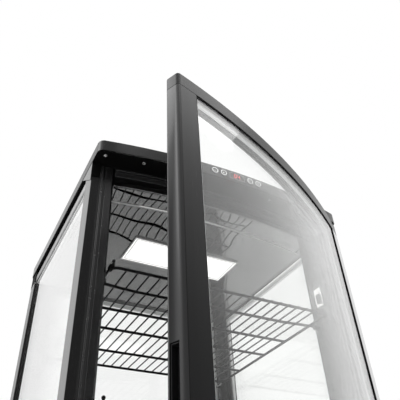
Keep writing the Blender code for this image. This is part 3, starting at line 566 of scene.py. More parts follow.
def build_studio():
    """White backdrop, glowing all round but for its open front; soft boxes; pale floor."""
    world = bpy.data.worlds.new("studio")
    bpy.context.scene.world = world
    sky = Nodes("studio", world)
    ahead = sky.node("VectorMath", {1: DIM_SIDE}, operation="DOT_PRODUCT")
    sky.link(sky.node("TexCoord").outputs["Generated"], ahead.inputs[0])
    ends = {"From Min": DIM_FROM, "From Max": DIM_FULL, "To Min": 1.0, "To Max": DIM_GLOW}
    glow = sky.node("MapRange", ends)
    sky.link(ahead.outputs["Value"], glow.inputs["Value"])
    seen = sky.node("Math", operation="MAXIMUM")
    sky.link(glow.outputs["Result"], seen.inputs[0])
    sky.link(sky.node("LightPath").outputs["Is Camera Ray"], seen.inputs[1])
    background = sky.tree.nodes["Background"]
    background.inputs["Color"].default_value = (1, 1, 1, 1)
    sky.link(seen.outputs["Value"], background.inputs["Strength"])
    bpy.context.scene.view_settings.view_transform = "Standard"
    cycles = bpy.context.scene.cycles
    cycles.transparent_max_bounces = 48
    cycles.max_bounces = 32
    cycles.glossy_bounces = 24
    area_light("key_left", (-1.9, -0.9, 1.5), (0, 0, 0.6), (1.4, 1.8), power=22, mirrored=False)
    area_light("top_soft", (0.2, -0.4, 2.6), (0, 0, 0.6), (1.8, 1.8), power=14)
    area_light("left_soft", (-1.55, 0.25, 2.35), (-0.1, -0.3, 0.9), (1.2, 1.2), power=8)
    look = Nodes("studio_floor")
    look.colour(look.mix(look.noise(3, 2), (0.55, 0.55, 0.55), (0.60, 0.60, 0.60)))
    look.roughness(look.range(look.noise(12, 3), 0.55, 0.7))
    bm = bmesh.new()
    bmesh.ops.create_grid(bm, x_segments=8, y_segments=8, size=3.0)
    mesh = bpy.data.meshes.new("floor")
    bm.to_mesh(mesh)
    bm.free()
    mesh.materials.append(look.mat)
    add_object("floor", mesh)


# ---- canopy and its controls
# screw places on the soffit, along its bowed front from left to right
SOFFIT_SCREWS = ((-0.2018, 0.0091), (-0.1463, 0.0007), (0.0712, -0.0059), (0.1347, 0.0002),
                 (0.2018, 0.0185))
SCREW_HEAD = ((0.0, 0.0010), (0.0030, 0.0010), (0.0030, -0.0002), (0.0026, -0.0010), (0.0016, -0.0015),
              (0.0009, -0.0016), (0.0005, -0.0010), (0.0, -0.0009))


def build_canopy():
    refine("canopy_shell", CANOPY_BLACK, 0.0012, 3)
    refine("soffit_panel", SOFFIT_BLACK, 0.0003)
    frame_material("controller_box", TRIM_BLACK)
    bm = bmesh.new()
    for x, y in SOFFIT_SCREWS:
        add_lathe(bm, SCREW_HEAD, at(x, y, SOFFIT), (0, 0, 1), 20)
    finish_mesh("soffit_screws", bm, BRIGHT_STEEL)


def frame_material(node, mat):
    """Give a CAD node that is kept as it is a better material."""
    mesh = frame["nodes"][node].data
    mesh.materials.clear()
    mesh.materials.append(mat)


SEGMENTS = {"a": ((0, 1), (1, 1)), "b": ((1, 1), (1, 0.5)), "c": ((1, 0.5), (1, 0)),
            "d": ((0, 0), (1, 0)), "e": ((0, 0), (0, 0.5)), "f": ((0, 0.5), (0, 1)),
            "g": ((0, 0.5), (1, 0.5))}
DIGITS = ((-0.0050, "abcdef"), (0.0012, "bcfg"))    # left edges from the centre line, lit bars
DIGIT_W = 0.0034
DIGIT_H = 0.0060
BAR = 0.0009
BORDER = 0.0007             # width of the printed line round the window


def build_display():
    """Dark window with two lit digits standing just inside its face."""
    refine("display_window", DISPLAY_GLASS)
    low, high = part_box("display_window")
    face = low.y
    middle = (low.z + high.z) / 2
    bm = bmesh.new()
    for left, lit in DIGITS:
        for part in lit:
            a, b = (Vector((CENTRE_X + left + x * DIGIT_W, face, middle + (z - 0.5) * DIGIT_H))
                    for x, z in SEGMENTS[part])
            near = Vector(map(min, a, b)) - Vector((BAR / 2, 0.00006, BAR / 2))
            far = Vector(map(max, a, b)) + Vector((BAR / 2, 0.0003, BAR / 2))
            add_box(bm, near, far, 0.0001, 1)
    finish_mesh("display_digits", bm, DIGIT_RED)
    bm = bmesh.new()
    reach = Vector((high.x - low.x, 0, high.z - low.z)) / 2 + Vector((0.0010, 0, 0.0008))
    line = BORDER / 2
    y0, y1 = face + 0.00005, face + 0.0006
    for way in (-1, 1):
        x = CENTRE_X + way * reach.x
        add_box(bm, (x - line, y0, middle - reach.z), (x + line, y1, middle + reach.z))
        z = middle + way * reach.z
        add_box(bm, (CENTRE_X - reach.x, y0, z - line), (CENTRE_X + reach.x, y1, z + line))
    finish_mesh("display_border", bm, PRINT_GREY)


MARK = 0.0016               # half the length of a button's mark
LINE = 0.0003               # and of its thickness


def build_buttons():
    """Each button: a black cap with a lit ring and a minus or plus mark."""
    for i in range(4):
        node = "button_%d" % (i + 1)
        low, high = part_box(node)
        centre = Vector(((low.x + high.x) / 2, low.y, (low.z + high.z) / 2))
        radius = (high.x - low.x) / 2
        bm = bmesh.new()
        add_lathe(bm, [(0.0, 0.0079), (radius - 0.0006, 0.0079), (radius, 0.0070),
                       (radius, 0.0006), (radius - 0.0005, 0.0002), (radius - 0.0028, 0.0004),
                       (0.0, 0.0007)], centre, (0, 1, 0), 36)
        body = "button_" + "abcd"[i]
        cap = finish_mesh("cap_" + node, bm, BUTTON_FACE, body=body, replaces=(node,))
        bm = bmesh.new()
        mean = radius - 0.0014
        add_tube(bm, [centre + Vector((mean * math.cos(a), 0.0005, mean * math.sin(a)))
                      for a in spread(0, 2 * math.pi, 36)[:-1]], 0.0007, 8, closed=True)
        for wide, tall in ((MARK, LINE), (LINE, MARK))[:1 + i % 2]:
            add_box(bm, centre + Vector((-wide, 0.0002, -tall)), centre + Vector((wide, 0.0009, tall)),
                    0.0001, 1)
        ring = finish_mesh("ring_" + node, bm, BUTTON_RING, body=body)
        ring.parent = cap


# ---- ceiling
SEAM_BACK = 0.0525
SHEET_NEAR = 0.0136         # front edge of the front sheet, behind the body's front
SHEET_RISE = 0.0006         # a flat sheet's height over the CAD panel's underside
RIPPLE = 0.00010
DRAWN = 0.00062             # how far the light draws the sheet down
SEAM_PROFILE = ((-0.0013, 0.0002), (-0.0010, -0.0004), (0.0, -0.0007), (0.0010, -0.0004),
                (0.0013, 0.0002))


def ceiling_wave(x, y):
    """Unevenness of the thin sheet: drawn down round the light, rippled beyond it."""
    light_low, light_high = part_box("light_frame")
    middle = (light_low + light_high) / 2
    dx, dy = x - middle.x, y - middle.y
    pull = math.exp(-((dx / 0.115) ** 2 + (dy / 0.070) ** 2))
    ripple = (math.sin(31 * x + 1.2) * math.sin(23 * y - 0.4)
              + 0.5 * math.sin(67 * x - 45 * y) + 0.3 * math.sin(96 * y + 40 * x + 2.0))
    beyond = 0.5 + 0.5 * math.tanh((x - middle.x - 0.06) / 0.04)
    quilt = math.sin(120 * x + 20 * y) * math.sin(105 * y - 30 * x)
    return RIPPLE * ripple + RIPPLE * beyond * quilt - DRAWN * pull


def build_ceiling():
    """Two mirror sheets that meet in a bright folded seam, bowed like the front."""
    low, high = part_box("ceiling_panel")
    rear = high.y - DATUM_Y
    wide = (high.x - low.x) / 2 - 0.0002
    narrow = BODY_W / 2 - POST_W - 0.0006
    behind_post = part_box("post_front_left")[1].y - DATUM_Y + GAP
    columns = spread(-wide, -narrow - 0.00005, 4) + spread(-narrow, narrow, 90) + spread(
        narrow + 0.00005, wide, 4)
    for name, near in (("ceiling_front_sheet", SHEET_NEAR), ("ceiling_main_sheet", SEAM_BACK)):
        bm = bmesh.new()
        grid = []
        front = near == SHEET_NEAR
        for x in columns:
            outside = abs(x) > narrow + 0.00002
            if front and outside:
                continue
            start = behind_post if outside else body_line(x, near)
            end = body_line(x, SEAM_BACK) if front else rear
            ys = spread(start, end, 10 if front else 80)
            points = [at(x, y, CEILING) for y in ys]
            for p in points:
                p.z += SHEET_RISE + max(min(ceiling_wave(p.x, p.y), 0.0003), -SHEET_RISE)
            grid.append([bm.verts.new(p) for p in points])
        for a, b in zip(grid, grid[1:]):
            for i in range(len(a) - 1):
                bm.faces.new((a[i], b[i], b[i + 1], a[i + 1]))
        made = finish_mesh(name, bm, CEILING_STEEL, 60,
                           replaces=() if front else ("ceiling_panel",))
        solid = made.modifiers.new("thickness", "SOLIDIFY")
        solid.thickness = 0.0005
        solid.offset = 1.0 if made.data.polygons[0].normal.z > 0 else -1.0
    bm = bmesh.new()
    loft(bm, [[at(x, body_line(x, SEAM_BACK + dy), CEILING + dz) for dy, dz in SEAM_PROFILE]
              for x in spread(-narrow, narrow, 60)])
    finish_mesh("ceiling_seam", bm, SEAM_STEEL, 50)


def build_light():
    """Lens with a raised bevelled edge in a thin bright frame."""
    refine("light_frame", BRIGHT_STEEL, 0.0007)
    low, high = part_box("light_lens")
    bm = bmesh.new()
    rings = []
    for inset, z in ((0.0, high.z), (0.0, low.z + 0.0006), (0.0012, low.z + 0.0001),
                     (0.0030, low.z), (0.0040, low.z + 0.0003)):
        x0, x1, y0, y1 = low.x + inset, high.x - inset, low.y + inset, high.y - inset
        rings.append([(x0, y0, z), (x1, y0, z), (x1, y1, z), (x0, y1, z)])
    loft(bm, rings)
    lens = finish_mesh("lens", bm, LENS, 20, replaces=("light_lens",))
    lens.data.materials.append(LENS_RIM)
    for face in lens.data.polygons:
        if 0.0008 < min(face.center.x - low.x, high.x - face.center.x, face.center.y - low.y,
                        high.y - face.center.y) < 0.0038:
            face.material_index = 1


# ---- posts, header and side frames
POST_EDGE = 0.011           # plain outer strip of a front post
CAP_FRONT = 0.0265          # height of a cap over the post's face
CAP_DROP = 0.0335           # and of its gusset at the corner
CAP_BACK = 0.0755           # where the gusset runs out behind the corner


def build_posts():
    for side in ("left", "right"):
        post = refine("post_front_" + side, POST_BLACK, 0.0003)
        paint_post(post)
        refine("post_rear_" + side, FRAME_BLACK, 0.0006)
    rails = refine("header_rails", SOFFIT_BLACK)
    # painted light: the rails' undersides glow
    paint_facing(rails, TRIM_PAINTED_GLOW, Vector((0, 0, -1)))
    # painted shade: the header's lip takes the darker, shaded copy of black
    refine("header_front", BLACK_AND_PAINTED_SHADE, 0.0004)
    build_header_ribs()
    build_post_ribs()
    build_post_caps()
    build_side_trims()


def paint_post(post):
    """Painted light and shade: a lighter, glossy outer side, a lighter satin seat inside the ribs, and
    a darker, dull outer strip, all copies of one black.
    """
    post.data.materials.append(POST_SIDE_PAINTED_LIGHT)
    post.data.materials.append(POST_SEAT_PAINTED_LIGHT)
    edge = BODY_W / 2 - POST_EDGE
    for face in post.data.polygons:
        if abs(face.normal.x) > 0.9 and abs(face.center.x - CENTRE_X) > edge + 0.005:
            face.material_index = 1
        elif abs(face.center.x - CENTRE_X) < edge:
            face.material_index = 2


# the header's ribs: top and bottom below the soffit, and how far they stand out
HEADER_RIBS = ((0.0004, 0.0034, 0.0012), (0.0044, 0.0062, 0.0026), (0.0072, 0.0090, 0.0012),
               (0.0100, 0.0172, 0.0020))
HEADER_BACK = 0.0040        # the header's face, behind the body's front
# the posts' rib edges: inside the plain strip, and behind the body's front
POST_RIBS = ((0.0032, 0.0004), (0.0048, 0.0006), (0.0094, 0.0018))


def build_header_ribs():
    """Seat ribs across the header's face, that end at the posts, in a lighter copy of the black that
    paints light on them.
    """
    span = BODY_W / 2 - POST_W - 0.0006
    bm = bmesh.new()
    for top, bottom, stand in HEADER_RIBS:
        add_strip(bm, spread(-span, span, 40), body_line, HEADER_BACK - stand, HEADER_BACK + 0.0002,
                  SOFFIT - bottom, SOFFIT - top)
    rib = finish_mesh("header_ribs", bm, HEADER_SEAT_PAINTED_LIGHT)
    bevel_modifier(rib, 0.0004)


def build_post_ribs():
    """Rounded lips standing on the edges of each front post's two ribs, in a lighter, glossier black:
    painted highlight lines.
    """
    bm = bmesh.new()
    z0 = DECK_TOP + 0.0010
    z1 = SOFFIT - 0.0006
    for side in (-1, 1):
        for inside, back in POST_RIBS:
            x = BODY_W / 2 - POST_EDGE - inside
            foot = at(side * x, body_line(x, back), 0)
            add_tube(bm, [(foot.x, foot.y, z) for z in spread(z0, z1, 2)], 0.00042, 10)
    finish_mesh("post_ribs", bm, POST_RIB_HIGHLIGHT)


def build_post_caps():
    """Moulded corner block at each front post's head: a face plate and a gusset."""
    bm = bmesh.new()
    top = SOFFIT - 0.0002
    gusset = bmesh.new()
    for side in (-1, 1):
        xs = sorted((side * (BODY_W / 2 + 0.0003), side * (BODY_W / 2 - POST_EDGE + 0.0005)))
        add_strip(bm, spread(*xs, 4), body_line, -0.0012, -0.0001, SOFFIT - CAP_FRONT, top)
        outer = side * (WIDTH / 2 - 0.0004)
        inner = side * (BODY_W / 2 + 0.0002)
        front_y = body_line(BODY_W / 2, -0.0012)
        outline = ((front_y, top), (CAP_BACK, top), (front_y + 0.0010, SOFFIT - CAP_DROP),
                   (front_y, SOFFIT - CAP_DROP))
        loft(gusset, [[at(x, y, z) for y, z in outline] for x in (outer, inner)])
    # partly painted shadow: each face plate is a cap drawn in the shaded black where the canopy's
    # overhang shades the post's head
    bevel_modifier(finish_mesh("post_caps", bm, BLACK_AND_PAINTED_SHADE), 0.0003)
    bevel_modifier(finish_mesh("post_gussets", gusset, POST_SIDE_PAINTED_LIGHT), 0.0003)


TRIM_IN = 0.0038            # a side trim's inner and outer edge, in from the body's side
TRIM_OUT = 0.0013
TRIM_H = 0.0130


def build_side_trims():
    """Satin strip along each side rail, just above the ceiling."""
    low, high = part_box("glass_left_outer")
    bm = bmesh.new()
    for side in (-1, 1):
        x0, x1 = beside(CENTRE_X + side * BODY_W / 2, -side, TRIM_OUT, TRIM_IN)
        add_box(bm, (x0, low.y + 0.0045, CEILING + 0.0002), (x1, high.y - 0.0004, CEILING + TRIM_H),
                0.0003)
    finish_mesh("side_trims", bm, TRIM_METAL)


GASKET_LIP = 0.0030         # how far a gasket covers its pane


def build_glazing():
    for side in ("left", "right", "rear"):
        # painted light: spacers behind the clear panes take the lighter copy
        glass, spacer = (SIDE_PANE, SPACER_METAL) if side == "left" else (CLEAR_PANE, SPACER_PAINTED_LIGHT)
        for layer in ("outer", "inner"):
            frame_material("glass_%s_%s" % (side, layer), glass)
        refine("glass_%s_spacer" % side, spacer, 0.0003)
        build_gasket(side)
    build_inner_gaskets()


def build_gasket(side):
    """Black glazing rubber round a fixed outer pane; a side's rail covers its top."""
    low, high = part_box("glass_%s_outer" % side)
    turned = side == "rear"
    left, right = (low.x, high.x) if turned else (low.y, high.y)
    bars = [((left, low.z), (right, low.z + GASKET_LIP)), ((left, low.z), (left + GASKET_LIP, high.z)),
            ((right - GASKET_LIP, low.z), (right, high.z))]
    if turned:
        bars.insert(0, ((left, high.z - GASKET_LIP), (right, high.z)))
    face, way = {"left": (low.x, -1), "right": (high.x, 1), "rear": (high.y, 1)}[side]
    near, far = beside(face, way, 0.0001, 0.0014)
    bm = bmesh.new()
    for (a, z0), (b, z1) in bars:
        ends = ((a, near, z0), (b, far, z1)) if turned else ((near, a, z0), (far, b, z1))
        add_box(bm, *ends, 0.0004)
    finish_mesh("gasket_" + side, bm, SEAL_BLACK)


def build_inner_gaskets():
    """Black rubber down the rear edge of each side's inner pane."""
    bm = bmesh.new()
    for side, way in (("left", 1), ("right", -1)):
        low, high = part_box("glass_%s_inner" % side)
        x0, x1 = beside(high.x if way > 0 else low.x, way, 0.0002, 0.0014)
        add_box(bm, (x0, high.y - 0.0080, low.z), (x1, high.y, high.z), 0.0004)
    finish_mesh("inner_gaskets", bm, SEAL_BLACK)


# ---- shelves
CROSS_RAILS = (0.0768, 0.139, 0.202, 0.285)
RAIL_R = 0.0021
WIRE_R = 0.0012
WIRES = 20
WIRE_PITCH = 0.016
CORNER_R = 0.012
HOOK_REACH = 0.0185         # the first cross rail runs out past the frame
HOOK_SWEEP = 0.0072         # while it curves forward
HOOK_START = 0.120          # from here outwards
PRONG_X = 0.1715
PRONG_H = 0.0085
CLIP_PAST = 0.0024          # a corner clip past the shelf's end rail
CLIP_INSIDE = 0.0004        # and inside its prong


def build_shelf(node, body):
    """Welded wire shelf: rounded frame, cross rails, thin wires, prongs, corner clips."""
    low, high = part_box(node)
    z = low.z + RAIL_R - 0.0001
    front, rear = low.y + RAIL_R, high.y - RAIL_R
    half = (high.x - low.x) / 2 - HOOK_REACH
    x0, x1 = CENTRE_X - half, CENTRE_X + half
    r = CORNER_R
    loop = (arc(x1 - r, front + r, r, -90, 0) + arc(x1 - r, rear - r, r, 0, 90)
            + arc(x0 + r, rear - r, r, 90, 180) + arc(x0 + r, front + r, r, 180, 270))
    bm = bmesh.new()
    add_tube(bm, [(x, y, z) for x, y in loop], RAIL_R, 12, closed=True)
    for i, y in enumerate(CROSS_RAILS):
        row = DATUM_Y + y
        if i:
            add_tube(bm, [(x0, row, z - 0.0001), (x1, row, z - 0.0001)], RAIL_R, 12)
            continue
        ends = []
        for t in spread(0.0, 0.97, 8):
            x = HOOK_START + (half + HOOK_REACH - HOOK_START) * t
            ends.append((x, row - HOOK_SWEEP * t ** 1.3))
        path = [(CENTRE_X - x, y, z - 0.0001) for x, y in reversed(ends)]
        path += [(CENTRE_X + x, y, z - 0.0001) for x, y in ends]
        add_tube(bm, path, RAIL_R, 12)
    for i in range(WIRES):
        x = CENTRE_X + WIRE_PITCH * (i - (WIRES - 1) / 2)
        add_tube(bm, [(x, front - 0.0006, z + 0.0022), (x, (front + rear) / 2, z + 0.0022),
                      (x, rear + 0.0006, z + 0.0022)], WIRE_R, 8)
    for side in (-1, 1):
        foot = Vector((CENTRE_X + side * PRONG_X, front + 0.0010, z))
        add_tube(bm, [foot, foot + Vector((0, 0, PRONG_H))], 0.0017, 12)
        ball = Matrix.Translation(foot + Vector((0, 0, PRONG_H + 0.0005)))
        bmesh.ops.create_icosphere(bm, subdivisions=2, radius=0.0024, matrix=ball)
    finish_mesh("wire_" + node, bm, WIRE_BLACK, 60, body, replaces=(node,))
    bm = bmesh.new()
    for side in (-1, 1):
        x0, x1 = beside(CENTRE_X, side, half + CLIP_PAST, PRONG_X - CLIP_INSIDE)
        add_box(bm, (x0, front - 0.0012, z - 0.0034), (x1, front + 0.0085, z + 0.0036), 0.0012)
    finish_mesh("corner_clips_" + node, bm, BLACK_AND_PAINTED_SHADE, body=body)


def build_shelves():
    for i, level in enumerate(("upper", "middle", "lower")):
        build_shelf("shelf_%d" % (i + 1), "shelf_" + level)
    for corner in CORNERS:
        refine("standard_" + corner, POST_BLACK, 0.0002, 1)
    build_clips()


def build_clips():
    """A black clip on each front upright under every shelf."""
    bm = bmesh.new()
    for node in ("shelf_1", "shelf_2", "shelf_3"):
        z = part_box(node)[0].z
        for side, way in (("left", -1), ("right", 1)):
            low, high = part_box("standard_front_" + side)
            x0, x1 = beside(low.x if way > 0 else high.x, way, 0.0004, 0.0072)
            add_box(bm, (x0, low.y + 0.0016, z - 0.0095), (x1, low.y + 0.0094, z - 0.0036), 0.0008)
    finish_mesh("shelf_clips", bm, BLACK_AND_PAINTED_SHADE)


def build_switch():
    refine("switch_plate", BRIGHT_STEEL, 0.0004)
    refine("switch_rocker", TRIM_BLACK, 0.0)


# ---- door
def build_door():
    turn = Matrix.Rotation(DOOR_REST, 3, "Z")
    edge = turn @ Vector((-1, 0, 0))
    # painted light on the free stile's edge faces and on the hinge stile; painted shade on the hinge
    # stile's edge faces and under the top rail
    paint_facing(refine("door_stile_free", DOOR_BLACK), EDGE_PAINTED_LIGHT, edge, 0.5)
    paint_facing(refine("door_stile_hinge", HINGE_SIDE_PAINTED_LIGHT), BLACK_AND_PAINTED_SHADE, edge)
    paint_facing(refine("door_rail_top", RAIL_BLACK, 0.0007), BLACK_AND_PAINTED_SHADE, Vector((0, 0, -1)))
    refine("door_rail_bottom", RAIL_BLACK, 0.0007)
    for layer in ("outer", "inner"):
        frame_material("door_glass_" + layer, DOOR_PANE)
    refine("door_glass_spacer", SPACER_PAINTED_LIGHT, 0.0003)
    build_door_beads()
    build_door_seal()
    build_pull()
    build_lock()


def paint_facing(obj, mat, way, least=0.97):
    """Another material on the faces that look one way; here it paints light and shade by facing."""
    obj.data.materials.append(mat)
    for face in obj.data.polygons:
        if face.normal.dot(way) > least:
            face.material_index = 1


RAIL_LOW_H = 0.0303         # heights of the door's rails, with the gap to the beads
RAIL_HIGH_H = 0.0203
# each bead: nearest and farthest behind the door's front, lip, widths at the two stiles
BEADS = {"front": (0.0002, 0.0013, 0.0011, 0.0003, 0.0027),
         "back": (0.0141, 0.0166, 0.0012, 0.0012, 0.0012)}


def build_door_beads():
    """Black glazing beads round both faces of the door's glass."""
    half = DOOR_W / 2 - STILE_W - GAP
    z0 = DOOR_LOW_Z + RAIL_LOW_H
    z1 = DOOR_HIGH_Z - RAIL_HIGH_H
    for name, (near, far, lip, free, hinged) in BEADS.items():
        bm = bmesh.new()
        for bottom, top in ((z0, z0 + lip), (z1 - lip, z1)):
            add_strip(bm, spread(-half, half, 40), door_line, near, far, bottom, top)
        for x0, x1 in ((-half, -half + free), (half - hinged, half)):
            add_strip(bm, spread(x0, x1, 2), door_line, near, far, z0 + lip, z1 - lip)
        bead = finish_mesh("door_bead_" + name, bm, BLACK_AND_PAINTED_SHADE, body="door", swing=True)
        bevel_modifier(bead, 0.0001, 1)


SEAL_X = 0.1985             # outer edge of the seal, from the door's middle
SEAL_W = 0.0058
SEAL_T = 0.0065
# half of the bellows section: inset, then distance from the door's back or from the seal's face
SEAL_FOOT = ((0.0, 0.0), (0.0, 0.0012), (0.0014, 0.0018), (0.0002, 0.0032))
SEAL_CROWN = ((0.0004, 0.0006), (0.0012, 0.0))


def build_door_seal():
    """Magnetic gasket: a hollow bellows section carried round the door's back."""
    z0 = DOOR_LOW_Z + 0.0225
    z1 = CEILING + 0.0150
    start = DOOR_T + GAP
    side = [(inset, start + back) for inset, back in SEAL_FOOT]
    side += [(inset, start + SEAL_T - back) for inset, back in SEAL_CROWN]
    section = side + [(SEAL_W - inset, back) for inset, back in reversed(side)]
    bm = bmesh.new()
    rings = []
    for inset, back in section:
        x, low, high = SEAL_X - inset, z0 + inset, z1 - inset
        xs = spread(-x, x, 32)
        zs = spread(low, high, 6)
        path = ([(px, low) for px in xs] + [(x, pz) for pz in zs[1:]]
                + [(px, high) for px in reversed(xs[:-1])] + [(-x, pz) for pz in reversed(zs[1:-1])])
        rings.append([bm.verts.new(at(px, door_line(px, back), pz)) for px, pz in path])
    join_rings(bm, rings + rings[:1])
    finish_mesh("door_gasket", bm, SEAL_BLACK, 40, "door", swing=True,
                replaces=("door_seal",))


PULL_Z = (0.4475, 0.6065)   # the finger recess: bottom and top,
PULL_X = (0.0012, 0.0097)   # from the door's free edge,
PULL_Y = (0.0083, 0.0177)   # and from the line of the canopy's corners
PULL_WALL = 0.0008


def build_pull():
    """Moulded liner of the finger recess in the door's free edge, with grip ribs."""
    bm = bmesh.new()
    z0, z1 = PULL_Z
    y0, y1 = PULL_Y
    x0, x1 = (x - DOOR_W / 2 for x in PULL_X)
    x2, y2, y3 = x1 - PULL_WALL, y0 + PULL_WALL, y1 - PULL_WALL
    for low, high in (((x2, y0, z0), (x1, y1, z1)), ((x0, y0, z0), (x2, y2, z1)),
                      ((x0, y3, z0), (x2, y1, z1)), ((x0, y2, z0), (x2, y3, z0 + PULL_WALL)),
                      ((x0, y2, z1 - PULL_WALL), (x2, y3, z1))):
        add_box(bm, at(*low), at(*high), 0.0002, 1)
    for z in spread(z0 + 0.012, z1 - 0.012, 14):
        add_box(bm, at(x2 - 0.0007, y2, z - 0.0008), at(x2, y3, z + 0.0008), 0.0002, 1)
    finish_mesh("pull_liner", bm, TRIM_BLACK, body="door", swing=True)


def build_lock():
    refine("lock_barrel", BRIGHT_STEEL, 0.0003)


# ---- hinges
def build_hinges():
    refine("hinge_top", ZINC, 0.0004)
    refine("hinge_bottom", ZINC, 0.0004)


# ---- base, machine bay and feet
def build_base():
    refine("base_shell", SHELL_BLACK, 0.0012, 3)
    refine("base_pan", ZINC, 0.0003, 1)
    refine("deck", FRAME_BLACK, 0.0006)
    refine("front_grille", TRIM_BLACK, 0.0004)
    refine("rear_vent", SHELL_BLACK, 0.0002, 1)
    refine("power_inlet", TRIM_BLACK)
    refine("fan_shroud", TRIM_BLACK)
    refine("condenser_fan", TRIM_BLACK, 0.0003)
    refine("compressor", COMPRESSOR_PAINT, 0.0, smooth=50)
    build_coil()
    for corner in CORNERS:
        refine("foot_" + corner, FOOT_RUBBER, 0.0008)
    build_inlet_pins()
    build_pipes()
    build_base_screws()
    build_deck_grilles()
    build_rear_fittings()


COIL_INSET = 0.010          # the end plates, inside the coil's ends
COIL_TUBE_R = 0.0016
BEND_REACH = 0.0080


def build_coil():
    """Condenser: thin fins on copper tubes that turn back at both ends."""
    low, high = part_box("condenser_coil")
    bm = bmesh.new()
    x0, x1 = low.x + COIL_INSET, high.x - COIL_INSET
    for x in spread(x0, x1, 72):
        add_box(bm, (x - 0.0002, low.y + 0.002, low.z + 0.002),
                (x + 0.0002, high.y - 0.002, high.z - 0.002))
    for x in (x0 - 0.0012, x1):
        add_box(bm, (x, low.y, low.z), (x + 0.0012, high.y, high.z), 0.0002, 1)
    finish_mesh("coil_fins", bm, FIN_METAL, replaces=("condenser_coil",))
    x0, x1 = x0 - 0.0015, x1 + 0.0015
    bm = bmesh.new()
    rows = spread(low.z + 0.020, high.z - 0.020, 5)
    for y in (low.y + 0.009, high.y - 0.009):
        for k, (a, b) in enumerate(zip(rows, rows[1:])):
            end, way = (x1, 1) if k % 2 else (x0, -1)
            reach = min((b - a) / 2, BEND_REACH)
            bend = [(end + way * reach * math.sin(t), y, (a + b) / 2 - (b - a) / 2 * math.cos(t))
                    for t in spread(0, math.pi, 10)]
            add_tube(bm, bend, COIL_TUBE_R, 8)
        for z in rows:
            add_tube(bm, [(x0, y, z), (x1, y, z)], COIL_TUBE_R, 8)
    finish_mesh("coil_tubes", bm, COPPER)


PIN = Vector((0.0010, 0.0115, 0.0020))    # half width, length, half height
PIN_PLACES = ((-0.0065, -0.002), (0.0065, -0.002), (0.0, 0.003))
PIN_BACK = 0.016            # the pins start this far inside the inlet's mouth


def build_inlet_pins():
    low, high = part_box("power_inlet")
    middle = (low + high) / 2
    bm = bmesh.new()
    for x, z in PIN_PLACES:
        centre = Vector((middle.x + x, high.y - PIN_BACK, middle.z + z))
        add_box(bm, centre - Vector((PIN.x, 0, PIN.z)), centre + PIN, 0.0004)
    finish_mesh("inlet_pins", bm, BRIGHT_STEEL)


# route points, from the middle of the compressor's top
DISCHARGE = ((0.020, -0.010, -0.006), (0.020, -0.010, 0.010), (0.026, -0.018, 0.022),
             (0.030, -0.060, 0.026))
SUCTION = ((-0.020, 0.006, -0.008), (-0.020, 0.006, 0.012), (-0.014, 0.016, 0.030),
           (0.020, 0.028, 0.052), (0.060, 0.030, 0.068), (0.070, 0.030, 0.0745))


def build_pipes():
    """Discharge tube from the compressor to the coil; suction tube up to the bay's roof."""
    low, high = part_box("compressor")
    coil_low, coil_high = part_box("condenser_coil")
    top = Vector(((low.x + high.x) / 2, (low.y + high.y) / 2, high.z))
    bm = bmesh.new()
    discharge = [top + Vector(p) for p in DISCHARGE]
    discharge += [Vector((coil_low.x + 0.006, coil_high.y + 0.030, top.z + 0.026)),
                  Vector((coil_low.x + 0.002, coil_high.y + 0.006, top.z + 0.020)),
                  Vector((coil_low.x + 0.002, coil_high.y + 0.0025, coil_high.z - 0.030))]
    for path in (discharge, [top + Vector(p) for p in SUCTION]):
        add_tube(bm, smooth_path(path), 0.0026, 10)
    finish_mesh("refrigerant_pipes", bm, COPPER, 60)


def smooth_path(points, steps=6):
    """Catmull-Rom curve through the points."""
    padded = [points[0] * 2 - points[1]] + points + [points[-1] * 2 - points[-2]]
    curve = []
    for p0, p1, p2, p3 in zip(padded, padded[1:], padded[2:], padded[3:]):
        for t in spread(0, 1, steps)[:-1]:
            curve.append(0.5 * ((2 * p1) + (p2 - p0) * t + (2 * p0 - 5 * p1 + 4 * p2 - p3) * t * t
                                + (3 * p1 - p0 - 3 * p2 + p3) * t ** 3))
    return curve + [points[-1]]


GRILLE_ROWS = ((0.072, 0.096), (0.322, 0.350))    # front and back edge of each grille
GRILLE_H = 0.0042


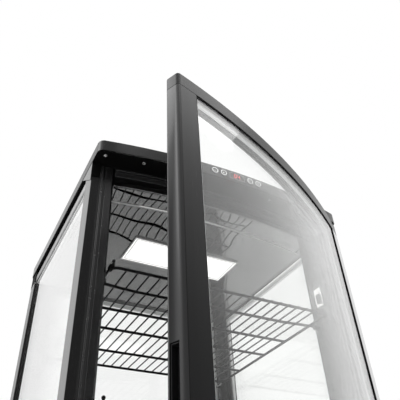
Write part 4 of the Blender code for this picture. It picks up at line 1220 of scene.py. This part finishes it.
def build_deck_grilles():
    """Raised slotted air guides at the front and back of the chamber's floor."""
    bm = bmesh.new()
    half = BODY_W / 2 - POST_W - 0.012
    z0, z1 = DECK_TOP + 0.0002, DECK_TOP + GRILLE_H
    for y0, y1 in GRILLE_ROWS:
        for a, b in ((y0, y0 + 0.003), (y1 - 0.003, y1)):
            add_box(bm, at(-half, a, z0), at(half, b, z1), 0.0006, 1)
        for x in spread(-half, half, 44):
            add_box(bm, at(x - 0.0016, y0 + 0.002, z0), at(x + 0.0016, y1 - 0.002, z1 - 0.0006),
                    0.0004, 1)
    finish_mesh("deck_grilles", bm, TRIM_BLACK)


def washer_screw(bm, radius, depth, place, inward):
    """Round head with a driver recess, its seat at the place."""
    profile = ((0.0, 0.0006), (radius, 0.0006), (radius, -0.0003), (radius - 0.0006, -0.0010),
               (0.0012, -depth), (0.0008, -0.0006), (0.0, -0.0006))
    add_lathe(bm, profile, place, inward, 20)


PLATE_X = (-0.196, -0.150)  # the rating plate's edges
PLATE_Z = (0.030, 0.060)


def build_rear_fittings():
    """Blank rating plate and vent screws on the base's back."""
    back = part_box("base_shell")[1].y
    bm = bmesh.new()
    add_box(bm, (CENTRE_X + PLATE_X[0], back - 0.0002, PLATE_Z[0]),
            (CENTRE_X + PLATE_X[1], back + 0.0004, PLATE_Z[1]), 0.0002, 1)
    finish_mesh("rating_plate", bm, TRIM_METAL)
    low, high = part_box("rear_vent")
    bm = bmesh.new()
    for x in (low.x + 0.006, high.x - 0.006):
        for z in (low.z + 0.006, high.z - 0.006):
            washer_screw(bm, 0.0032, 0.0013, (x, back - 0.0003, z), (0, -1, 0))
    finish_mesh("vent_screws", bm, ZINC)


def build_base_screws():
    low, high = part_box("base_shell")
    bm = bmesh.new()
    for side, x in ((-1, low.x), (1, high.x)):
        for y in (low.y + 0.06, high.y - 0.03):
            for z in (low.z + 0.018, high.z - 0.020):
                washer_screw(bm, 0.0034, 0.0014, (x + side * 0.0001, y, z), (-side, 0, 0))
    finish_mesh("base_screws", bm, ZINC)


build_camera()
build_studio()
build_canopy()
build_display()
build_buttons()
build_ceiling()
build_light()
build_posts()
build_glazing()
build_shelves()
build_switch()
build_door()
build_hinges()
build_base()
